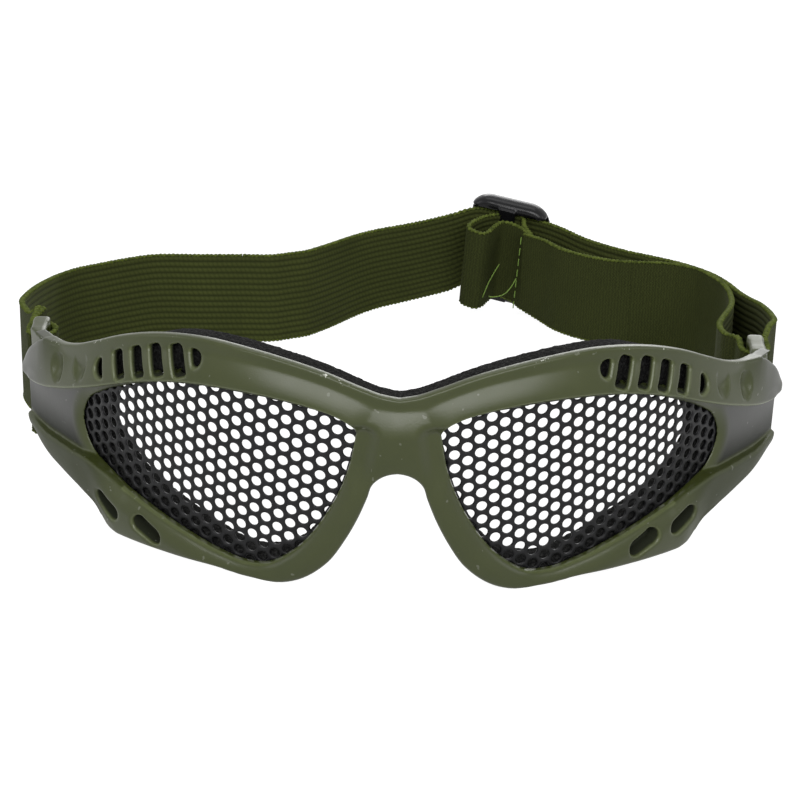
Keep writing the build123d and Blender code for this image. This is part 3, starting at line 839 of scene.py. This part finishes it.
def staple_field(x, y, z, off):
    """Front leg, two bridges and the post of one strap loop; x is measured from the post."""
    def block(low, high, corner):
        spans = zip((x, y, z), low, high)
        return rounded_box([np.abs(v - (a + b) / 2) - (b - a) / 2 for v, a, b in spans], corner)
    low = STRAP_LOW - STRAP_GAP - STAPLE_FOOT
    high = STRAP_LOW + STRAP_WIDTH + STRAP_GAP + STAPLE_TOP
    leg_back, link_front, post_back = TURN_FRONT - STRAP_GAP, TURN_FRONT - STAPLE_LINK, POST_Y + POST_RADIUS
    leg = block((-STAPLE_HALF, TURN_FRONT - STAPLE_LEG, low + 4.0), (STAPLE_HALF, leg_back, high - 0.3), 0.7)
    link = block((-STAPLE_HALF, link_front, low), (STAPLE_INNER, leg_back, low + 6.0), 0.5)
    top = block((-STAPLE_HALF, TURN_FRONT - STAPLE_BRIDGE, high - STAPLE_TOP),
                (STAPLE_HALF, post_back - 0.2, high), 0.6)
    bottom = block((-STAPLE_HALF, link_front, low), (STAPLE_INNER, post_back - 0.4, low + 1.0), 0.4)
    post = np.maximum(np.hypot(x, y - POST_Y) - POST_RADIUS, np.maximum(low - z, z - high + 0.3))
    leg = round_min(np.maximum(round_min(leg, top, 0.6), off + 0.2), link, 0.4)
    return round_min(round_min(leg, post, 0.5), bottom, 0.4)


def off_wrap(x, y):
    """How far a place in plan is off the wrap surface."""
    x = np.abs(x)
    on_temple = np.arctan2(x - TEMPLE_X, TEMPLE_Y - y) > HANDOVER_ANGLE
    temple = np.hypot(x - TEMPLE_X, y - TEMPLE_Y) - TEMPLE_RADIUS
    return np.where(on_temple, temple, np.hypot(x, y - WRAP_RADIUS) - WRAP_RADIUS)


def block_grid(starts, counts, step):
    """The places of a solid grid, along each of its three axes."""
    axes = [start + step * np.arange(count) for start, count in zip(starts, counts)]
    return np.meshgrid(*axes, indexing="ij")


def build_staple(side, material):
    starts = (-2.6, POST_Y - 14.0, 1.0)
    x, y, z = block_grid(starts, (17, 54, 104), STAPLE_GRID)
    cells, quads = surface_net(staple_field(x, y, z, off_wrap(x + POST_X[side], y)))
    x, y, z = relaxed(cells * STAPLE_GRID + starts, quads, 1).T
    if side > 0:
        quads = quads[:, ::-1]
    plain = dict.fromkeys(("painted_reflection", "parting", "painted_edge_highlight", "shade"), np.zeros(len(cells)))
    return mesh_piece(SIDE_NAMES[side] + "_strap_staple", stood(side * (x + POST_X[side]), y, z), quads,
                      [material], "goggles", attributes=plain)


# Mesh lenses

def build_lens(side, material):
    """A curved sheet made of six-sided cells, each round one hole."""
    tilt, pitch, first_u, first_v = HOLE_ROWS[side]

    def turned(u, v):
        return u * cos(tilt) - v * sin(tilt), u * sin(tilt) + v * cos(tilt)
    places = [(i, j) for i in range(1, 36) for j in range(-6, 24)]
    u = np.array([first_u + i * pitch * cos(pi / 6) for i, j in places])
    v = np.array([first_v + (j + i % 2 / 2) * pitch for i, j in places])
    kept = signed(outline(*LENS), *turned(u, v)) < LENS_MARGIN
    middles = np.stack([u[kept], v[kept]], 1)
    turn = np.arange(HOLE_POINTS) * 2 * pi / HOLE_POINTS
    corner = pitch / 2 / np.cos(turn % (pi / 3) - pi / 6)
    front, back = LENS_BACK + LENS_THICKNESS, LENS_BACK
    wide = HOLE_RADIUS + HOLE_BEVEL
    rings = [(corner, front), (wide, front), (HOLE_RADIUS, front - HOLE_BEVEL_DEPTH),
             (HOLE_RADIUS, back + HOLE_BEVEL_DEPTH), (wide, back), (corner, back)]
    around = np.stack([np.cos(turn), np.sin(turn)], 1)
    points = np.stack([middles[:, None] + around * np.reshape(radius, (-1, 1)) for radius, off in rings], 1)
    offs = np.broadcast_to(np.array([off for radius, off in rings])[None, :, None], points.shape[:3])
    arc, up = turned(points[..., 0], points[..., 1])
    x, y = wrapped(arc, offs)
    last = len(rings) - 1
    row, k = np.meshgrid(np.arange(last) * HOLE_POINTS, np.arange(HOLE_POINTS), indexing="ij")
    after = (k + 1) % HOLE_POINTS
    below = row + HOLE_POINTS
    cell = np.stack([row + k, row + after, below + after, below + k], -1).reshape(-1, 4)
    first = HOLE_POINTS * len(rings) * np.arange(len(middles))[:, None, None]
    quads = [cell + first]
    for direction in range(6):
        angle = pi / 6 + direction * pi / 3
        beside = middles + pitch * np.array([cos(angle), sin(angle)])
        alone = np.min(np.linalg.norm(beside[:, None] - middles[None], axis=2), 1) > 0.1
        k = np.arange(3 * direction, 3 * direction + 3)
        after = (k + 1) % HOLE_POINTS
        wall = np.stack([k, last * HOLE_POINTS + k, last * HOLE_POINTS + after, after], -1)
        quads.append(wall + first[alone])
    quads = np.vstack([part.reshape(-1, 4) for part in quads])
    if side < 0:
        quads = quads[:, ::-1]
    places = stood(side * x.ravel(), y.ravel(), up.ravel())
    name = SIDE_NAMES[side]
    return mesh_piece(name + "_perforated_lens", places, quads, [material], "goggles",
                      [name + "_mesh_lens"])


# Foam

def build_foam(material):
    """One ring of foam round both eyes, rounded and with a slightly uneven nap."""
    arcs = np.arange(-86, 86.1, FOAM_GRID)
    offs = np.arange(FOAM_FRONT - FOAM_DEPTH - 1.2, FOAM_FRONT + 1.2, FOAM_GRID)
    ups = np.arange(-1.2, HEIGHT + 1.3, FOAM_GRID)
    a, h = np.meshgrid(arcs, ups, indexing="ij")
    silhouette = both_sides(outline(*((shares, BACK) for shares, _ in SILHOUETTE)))
    eye = spline(developed(EYE, -2.0)[:-1], closed=True)
    ring = signed(silhouette, a, h) + FOAM_INSET + FOAM_SIDE_INSET * ramp(np.abs(a), 45, 68)
    ring = np.maximum(ring, np.abs(a) - arc_at(FOAM_HALF_WIDTH, -2.0))
    holes = np.minimum(signed(eye, a, h), signed(eye * (-1, 1), a, h))
    flat = round_max(ring, -holes, 1.0)[:, None, :]
    o = offs[None, :, None]
    slab = np.maximum(o - FOAM_FRONT, FOAM_FRONT - FOAM_DEPTH - o)
    points, quads = wrapped_net(round_max(flat, slab, FOAM_ROUNDING), (arcs, offs, ups), FOAM_GRID)[:2]
    rng = np.random.default_rng(7)
    points = points + rng.normal(0, FOAM_NAP, points.shape)
    piece = mesh_piece("foam_face_seal", stood(*points.T), quads, [material], "goggles",
                       ["foam_liner"])


# Webbing

def band_stations(keys, step=0.9):
    """Keys of (x, y at the lower edge, y at the upper edge, lowest z, highest z), made into even stations."""
    curve = spline(keys, 24)
    middle = np.stack([curve[:, 0], (curve[:, 1] + curve[:, 2]) / 2], 1)
    run = np.concatenate([[0], np.cumsum(np.linalg.norm(np.diff(middle, axis=0), axis=1))])
    count = max(int(run[-1] / step), 4)
    at = np.linspace(0, run[-1], count + 1)
    return np.stack([np.interp(at, run, curve[:, n]) for n in range(curve.shape[1])], 1), at


def band_frame(stations):
    """Lower edge, upper edge and the unit normal, to the right of the way it runs, at each station."""
    low = np.stack([stations[:, 0], stations[:, 1], stations[:, 3]], 1)
    high = np.stack([stations[:, 0], stations[:, 2], stations[:, 4]], 1)
    if stations.shape[1] > 5:
        high[:, 0] = stations[:, 5]
    inset = (high - low) / STRAP_WIDTH * EDGE_RADIUS
    low, high = low + inset, high - inset
    tangent = np.gradient((low + high) / 2, axis=0)
    tangent /= np.linalg.norm(tangent, axis=1)[:, None]
    across = high - low
    normal = np.cross(tangent, across)
    normal /= np.linalg.norm(normal, axis=1)[:, None]
    return low, high, normal


def band_section():
    """The webbing's closed section: shares of its width and half thickness, and which face is plain."""
    up = np.linspace(0.012, 0.988, RIBS * 5 + 1)
    ribbed = 0.66 + 0.34 * np.abs(np.sin(pi * up * RIBS))
    plain = np.full(len(up), 0.92)
    shares = np.concatenate([up, up[::-1]])
    return shares, np.concatenate([ribbed, -plain]), np.repeat([0.0, 1.0], len(up))


def swept(rings, outward):
    """Points and quads of a closed skin over equal rings, capped at both ends."""
    count, ring = rings.shape[:2]
    i = np.arange(count - 1)[:, None]
    j = np.arange(ring)
    k = (j + 1) % ring
    skin = np.stack([i * ring + j, i * ring + k, (i + 1) * ring + k, (i + 1) * ring + j], -1).reshape(-1, 4)
    j = np.arange(ring // 2 - 1)
    cap = np.stack([j, ring - 1 - j, ring - 2 - j, j + 1], -1)
    quads = np.vstack([skin, cap, cap[:, ::-1] + (count - 1) * ring])
    return rings.reshape(-1, 3), quads if outward else quads[:, ::-1]


def looped_edge(line, out, up, phase):
    """Rings of the looped yarn along one edge of the webbing."""
    swell = 0.55 + 0.45 * np.abs(np.sin(pi * phase)) + 0.06 * np.sin(phase * 2.3)
    turn = np.linspace(0, 2 * pi, EDGE_POINTS, endpoint=False)
    wide = (swell * 0.68)[:, None] * np.cos(turn) + (0.16 * np.sin(2 * pi * phase))[:, None]
    tall = (swell * EDGE_RADIUS * 1.15)[:, None] * np.sin(turn)
    return line[:, None] + out[:, None] * wide[..., None] + up[:, None] * tall[..., None]


def build_band(name, keys, body, replaced, materials, step=0.9):
    """One stretch of webbing with its looped edges. Its ribbed face is on the right of the way it runs."""
    stations, run = band_stations(keys, step)
    low, high, normal = band_frame(stations)
    shares, sides, plain = band_section()
    rings = low[:, None] + (high - low)[:, None] * shares[:, None]
    rings = rings + normal[:, None] * (sides * STRAP_THICKNESS / 2)[:, None]
    points, quads = swept(rings, False)
    uv = np.stack([np.repeat(run, len(shares)), np.tile(shares * STRAP_WIDTH, len(run))], 1)
    parts = [(points, quads, np.tile(plain, len(run)), uv)]
    fine = np.arange(0, run[-1], LOOP_PITCH / 5)
    lines = [np.stack([np.interp(fine, run, v[:, n]) for n in range(3)], 1) for v in (low, high, normal)]
    up = lines[1] - lines[0]
    up /= np.linalg.norm(up, axis=1)[:, None]
    for line in lines[:2]:
        points, quads = swept(looped_edge(line, lines[2], up, fine / LOOP_PITCH), True)
        uv = np.stack([np.repeat(fine, EDGE_POINTS), np.zeros(len(points))], 1)
        parts.append((points, quads, np.ones(len(points)), uv))
    points, quads, plain, uv = zip(*parts)
    first = np.cumsum([0] + [len(part) for part in points])
    faces = np.vstack([part + start for part, start in zip(quads, first)])
    kinds = np.repeat([0, 1, 1], [len(part) for part in quads])
    places = (np.vstack(points) - (0, MIDDLE_Y, 0)) * MM
    piece = mesh_piece(name, places, faces, materials, body, replaced,
                       {"plain": np.concatenate(plain)}, kinds, np.vstack(uv))
    piece.data.set_sharp_from_angle(angle=radians(60))
    return piece


def leaned(x, y, z):
    """A place held in the frame's own axes, in millimetres on the table's axes like the strap's stations."""
    x, y, z = stood(np.array(x), np.array(y), np.array(z)) / MM
    return x, y + MIDDLE_Y, z


def leaned_key(x, y):
    """A station of the strap where it is held in the frame's own axes."""
    low = leaned(x, y, STRAP_LOW)
    high = leaned(x, y, STRAP_LOW + STRAP_WIDTH)
    return x, low[1], high[1], low[2], high[2]


def post_turn_keys(side, leg_to):
    """Stations round the front of a post, from its inner leg to its outer one."""
    turn = [(-TURN_RADIUS, LEG_END_Y), (-TURN_RADIUS, LEG_END_Y - 2.5)]
    for angle in np.linspace(0, pi, 7):
        turn.append((-TURN_RADIUS * cos(angle), POST_Y - TURN_RADIUS * sin(angle)))
    turn += [(TURN_RADIUS, LEG_END_Y - 2.5), (TURN_RADIUS, leg_to)]
    return [leaned_key(side * (POST_X[side] + x), y) for x, y in turn]


def standing(keys):
    """Whole stations; a key of only x and y is a place where the webbing stands upright on the table."""
    return [key if len(key) > 2 else (*key, key[1], 0.1, 25.0) for key in keys]


LEFT_SIDE = standing([
    (-84.6, 76.5, 74.0, 12.0, 36.6), (-88.6, 88.5, 86.5, 9.4, 34.2), (-91.4, 100.0, 98.5, 7.8, 32.4),
    (-92.4, 112.0, 111.0, 6.0, 30.6), (-92.6, 126.0, 125.5, 3.9, 28.6), (-92.0, 140.0, 140.0, 1.7, 26.5),
    (-90.6, 150.5, 150.5, 0.4, 25.2), (-87.0, 157.8), (-82.5, 162.4), (-76.2, 168.5), (-68.7, 173.7),
    (-56.6, 175.0), (-45.1, 176.2)])
REAR = standing([
    (-45.1, 176.2), (-36.3, 177.3, 177.1, 0.1, 25.0), (-32.4, 179.9, 179.6, 0.1, 25.0),
    (-28.4, 182.6, 182.2, 0.1, 25.0), (-24.5, 188.0, 187.2, 0.1, 25.0), (-20.6, 194.6, 193.2, 0.1, 25.0),
    (-16.6, 201.4, 199.2, 0.3, 25.1), (-12.5, 206.8, 203.7, 0.7, 25.4), (-8.2, 210.6, 206.6, 1.2, 25.8),
    (-2.0, 213.9, 209.0, 2.0, 26.5), (5.0, 216.6, 211.2, 3.2, 27.6), (12.0, 218.8, 213.0, 4.7, 29.1)])
REAR_IN_SLIDER = [(-.39, -.05), (-.12, 0), (.17, 0), (.43, -.01)]
REAR_END = [(43.5, 209.6, 206.8, 2.7, 27.4), (49.5, 203.4, 202.2, 1.0, 25.8),
            (55.5, 197.3, 196.9, 0.2, 25.1), (61.3, 191.2, 191.0, 0.1, 25.0)]
RIGHT_OUTER = standing([
    (61.3, 191.2, 191.0, 0.1, 25.0), (67.0, 186.6, 186.5, 0.1, 25.0), (74.5, 179.7), (81.5, 169.7),
    (84.8, 160.5), (86.8, 150.5, 150.5, 0.3, 25.1), (87.8, 140.0, 140.0, 1.8, 26.4),
    (88.4, 127.0, 126.6, 4.2, 28.8), (88.2, 112.0, 111.0, 7.0, 31.4), (87.2, 99.0, 97.6, 9.5, 33.8),
    (85.8, 87.5, 85.5, 11.6, 36.0), (83.0, 77.0, 74.6, 13.2, 37.8)])
RIGHT_INNER = standing([
    (72.2, 65.5, 63.2, 14.2, 38.7), (71.4, 70.0, 67.8, 13.8, 38.3), (71.8, 77.0, 75.0, 13.0, 37.4),
    (73.6, 87.5, 86.0, 11.4, 35.6), (76.2, 98.5, 97.4, 9.6, 34.0), (79.0, 112.0, 111.0, 7.2, 31.6),
    (81.8, 128.0, 127.4, 4.2, 28.8), (83.6, 143.0, 142.8, 1.6, 26.3), (84.3, 151.0, 151.0, 0.4, 25.2),
    (83.9, 158.6), (81.9, 166.6), (78.0, 175.0), (71.5, 179.2), (61.3, 180.0)])
INNER_END = standing([
    (61.3, 180.0), (56.0, 181.3, 180.9, 0.2, 25.0), (50.5, 184.6, 183.8, 0.4, 25.1),
    (45.8, 188.4, 187.0, 0.6, 25.4), (42.0, 192.6, 190.4, 0.9, 25.8), (38.6, 198.2, 195.0, 1.5, 26.5)])


def slider_frame():
    """Axes of the slider: along it, towards the back, and up it, and its middle."""
    along = Vector((cos(SLIDER_YAW), -sin(SLIDER_YAW), 0))
    tip = Matrix.Rotation(SLIDER_TIP, 3, along)
    back, up = tip @ Vector((sin(SLIDER_YAW), cos(SLIDER_YAW), 0)), tip @ Vector((0, 0, 1))
    roll = Matrix.Rotation(SLIDER_ROLL, 3, back)
    return roll @ along, back, roll @ up, Vector(SLIDER_MIDDLE)


def from_slider(along_by, back_by, up_by):
    along, back, up, middle = slider_frame()
    return middle + along * along_by + back * back_by + up * up_by


def slider_field(x, y, z):
    """A moulded slider in its own axes: along, towards the back, up."""
    outer = rounded_box((np.abs(x) - SLIDER_LENGTH / 2, np.abs(z) - SLIDER_HEIGHT / 2), SLIDER_CORNER)
    body = round_max(outer, np.maximum(y - SLIDER_BACK, SLIDER_FRONT - y), 2.6)
    slot_half = SLIDER_HEIGHT / 2 - SLIDER_RAIL
    z = z + SLOT_DROP
    body = round_max(body, -np.maximum(np.abs(z) - slot_half, y - 0.9), 0.8)
    window = rounded_box((np.abs(x) - SLIDER_LENGTH / 2 + SLIDER_END, np.abs(z) - slot_half), 1.2)
    body = round_max(body, -window, 0.8)
    bar = np.maximum(np.abs(x) - SLIDER_BAR_HALF, np.abs(z) - slot_half - 1.6)
    bar = np.maximum(bar, np.abs(y - SLIDER_FRONT) - SLIDER_BAR_THICKNESS / 2)
    return round_min(body, bar + 0.1, 0.5)


def build_slider(material):
    starts = (-SLIDER_LENGTH / 2 - 1.0, -5.4, -SLIDER_HEIGHT / 2 - 1.0)
    cells, quads = surface_net(slider_field(*block_grid(starts, (67, 23, 88), SLIDER_GRID)))
    points = relaxed(cells * SLIDER_GRID + starts, quads, 2)
    along, back, up, middle = (np.array(v) for v in slider_frame())
    places = middle + points[:, :1] * along + points[:, 1:2] * back + points[:, 2:] * up - (0, MIDDLE_Y, 0)
    return mesh_piece("moulded_slider", places * MM, quads, [material], "slider", ["strap_slider"])


def slider_keys(places, lift):
    """Stations given in the slider's own axes, as shares of its length."""
    keys = []
    for along_by, back_by in places:
        along, back = along_by * SLIDER_LENGTH, back_by * SLIDER_LENGTH
        low = from_slider(along, back, lift - STRAP_WIDTH / 2)
        high = from_slider(along, back, lift + STRAP_WIDTH / 2)
        keys.append((low.x, low.y, high.y, low.z, high.z, high.x))
    return keys


def build_thread(name, runs, material, body, replaced):
    """Stitches or loose ends of one thread, each a smooth run through a few places."""
    curve = bpy.data.curves.new(name, "CURVE")
    curve.dimensions = "3D"
    curve.bevel_depth = THREAD_RADIUS * MM
    curve.bevel_resolution = 2
    for points in runs:
        line = curve.splines.new("NURBS")
        line.points.add(len(points) - 1)
        for point, (x, y, z) in zip(line.points, points):
            point.co = (x * MM, (y - MIDDLE_Y) * MM, z * MM, 1)
        line.use_endpoint_u = True
        line.order_u = 3
    piece = bpy.data.objects.new(name, curve)
    bpy.context.scene.collection.objects.link(piece)
    curve.materials.append(material)
    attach(piece, body)
    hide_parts(replaced)


def build_threads(material):
    """Stitches through the two sewn ends, and the loose ends of thread."""
    stitch = ((-STITCH_HALF, 0.0), (0.0, 0.2), (STITCH_HALF, 0.0))
    seam_along, seam_back = .295 * SLIDER_LENGTH, -.44 * SLIDER_LENGTH - 0.95
    runs = [[from_slider(seam_along, seam_back - bulge, index * 3.5 + lift) for lift, bulge in stitch]
            for index in range(-3, 4)]
    runs += [[from_slider(a * SLIDER_LENGTH, b * SLIDER_LENGTH, c) for a, b, c in points]
             for points in LOOSE_ENDS]
    build_thread("loop_seam_thread", runs, material, "slider", "end_seam_stitching")
    outside = POST_X[-1] + TURN_RADIUS + STRAP_THICKNESS / 2 + 0.1
    middle = STRAP_LOW + STRAP_WIDTH / 2
    runs = [[leaned(-outside - bulge, 63.3, middle + index * 3.4 + lift) for lift, bulge in stitch]
            for index in range(-3, 4)]
    build_thread("post_seam_thread", runs, material, "goggles", "left_loop_stitching")


def build_strap(webbing, yarn):
    """The whole strap, from the loop round the left post to the one round the slider's bar."""
    materials = [webbing, yarn]
    sewn_y = LEG_END_Y + SEWN_LENGTH
    left_out, left_in = POST_X[-1] + TURN_RADIUS, POST_X[-1] - TURN_RADIUS
    left = build_band("left_side_webbing", [leaned_key(-left_out, sewn_y)] + LEFT_SIDE, None, [], materials)
    tucked = -(left_out - STRAP_THICKNESS)
    tuck = [leaned_key(tucked, sewn_y - 0.4), leaned_key(tucked, LEG_END_Y - 1.0),
            leaned_key(-(left_in + 1.2), POST_Y + 3.0)]
    build_band("left_loop_webbing", tuck + post_turn_keys(-1, sewn_y)[2:], "goggles", ["left_post_loop"],
               materials, step=0.6)
    before, after = ([key + key[:1] for key in keys] for keys in (REAR, REAR_END))
    rear_keys = before + slider_keys(REAR_IN_SLIDER, -SLOT_DROP) + after
    build_band("rear_webbing", rear_keys, "strap_rear", ["rear_band"], materials)
    right_leg = leaned_key(POST_X[1] + TURN_RADIUS, LEG_END_Y)
    outer = build_band("right_outer_webbing", RIGHT_OUTER + [right_leg], None, [], materials)
    build_band("right_turn_webbing", post_turn_keys(1, LEG_END_Y)[::-1], "goggles", ["right_post_turn"],
               materials, step=0.6)
    right_in = leaned_key(POST_X[1] - TURN_RADIUS, LEG_END_Y)
    inner = build_band("right_inner_webbing", [right_in] + RIGHT_INNER, None, [], materials)
    loop = slider_keys(END_LOOP, 0.5)
    end = build_band("inner_end_webbing", INNER_END + [loop[0][:5]], None, [], materials)
    build_band("end_loop_webbing", loop, "slider", ["slider_end_loop"], materials, step=0.6)
    for piece, node, start, finish in ((left, "left_side_band", (-.09, -.03, .02), (-.045, .0695, .02)),
                                       (outer, "right_outer_band", (.08, -.038, .02), (.061, .085, .02)),
                                       (inner, "right_inner_band", (.075, -.04, .02), (.061, .073, .02))):
        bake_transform(piece)
        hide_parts(node)
    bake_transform(end)
    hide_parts("inner_band_end")


# Stage

def build_floor():
    """A pale floor that takes the shadow."""
    mesh = bpy.data.meshes.new("floor")
    corners = [(x * FLOOR_HALF, y * FLOOR_HALF, 0) for x, y in ((-1, -1), (1, -1), (1, 1), (-1, 1))]
    mesh.from_pydata(corners, [], [(0, 1, 2, 3)])
    floor = bpy.data.objects.new("floor", mesh)
    bpy.context.scene.collection.objects.link(floor)
    n = Material("floor_white")
    shown = n.add("ShaderNodeAddShader")
    n.put(n.add("ShaderNodeBsdfDiffuse", {"Color": (.30, .30, .30)}).outputs[0], shown.inputs[0])
    glow = n.add("ShaderNodeEmission", {"Color": (1, 1, 1), "Strength": 0.93})
    n.put(glow.outputs[0], shown.inputs[1])
    pick = n.add("ShaderNodeMixShader", {"Fac": n.seen_plainly()})
    n.put(n.add("ShaderNodeBsdfDiffuse", {"Color": (.5, .5, .5)}).outputs[0], pick.inputs[1])
    n.put(shown.outputs[0], pick.inputs[2])
    n.put(pick.outputs[0], n.tree.nodes["Material Output"].inputs["Surface"])
    mesh.materials.append(n.material)


def build_world():
    """White where it is seen, dim where it only lights."""
    world = bpy.data.worlds.new("studio")
    world.use_nodes = True
    n = Nodes(world.node_tree)
    background = n.tree.nodes["Background"]
    strength = n.add("ShaderNodeMapRange", {"Value": n.seen_plainly(), "To Min": 0.15, "To Max": 1.0})
    n.put(strength.outputs[0], background.inputs["Strength"])
    n.put((1, 1, 1), background.inputs["Color"])
    bpy.context.scene.world = world


def build_light(name, place, target, size, power):
    data = bpy.data.lights.new(name, "AREA")
    data.shape = "RECTANGLE"
    data.size, data.size_y = size
    data.energy = power
    light = bpy.data.objects.new(name, data)
    light.location = place
    light.rotation_euler = (Vector(target) - Vector(place)).to_track_quat("-Z", "Y").to_euler()
    bpy.context.scene.collection.objects.link(light)


def build_camera():
    forward = Vector((-sin(CAMERA_YAW) * cos(CAMERA_PITCH), cos(CAMERA_YAW) * cos(CAMERA_PITCH),
                      -sin(CAMERA_PITCH)))
    level = Vector((cos(CAMERA_YAW), sin(CAMERA_YAW), 0))
    up = level.cross(forward)
    right = level * cos(CAMERA_ROLL) + up * sin(CAMERA_ROLL)
    top = up * cos(CAMERA_ROLL) - level * sin(CAMERA_ROLL)
    data = bpy.data.cameras.new("camera")
    data.sensor_width = SENSOR_WIDTH
    data.lens = FOCAL_PIXELS / PHOTO_WIDTH * SENSOR_WIDTH
    data.clip_start = 0.01
    camera = bpy.data.objects.new("camera", data)
    turn = Matrix((right, top, -forward)).transposed().to_4x4()
    turn.translation = Vector(CAMERA_PLACE) * MM
    camera.matrix_world = turn
    bpy.context.scene.collection.objects.link(camera)
    bpy.context.scene.camera = camera


def main():
    build_camera()
    build_floor()
    build_world()
    for name, lamp in LAMPS.items():
        build_light(name, *lamp)
    bpy.context.scene.view_settings.view_transform = "Standard"
    olive = frame_material()
    build_frame(olive)
    for side in SIDE_NAMES:
        build_staple(side, olive)
    coat = mesh_material()
    for side in SIDE_NAMES:
        build_lens(side, coat)
    build_foam(foam_material())
    build_strap(webbing_material(), edging_material())
    build_slider(slider_material())
    build_threads(thread_material())


main()
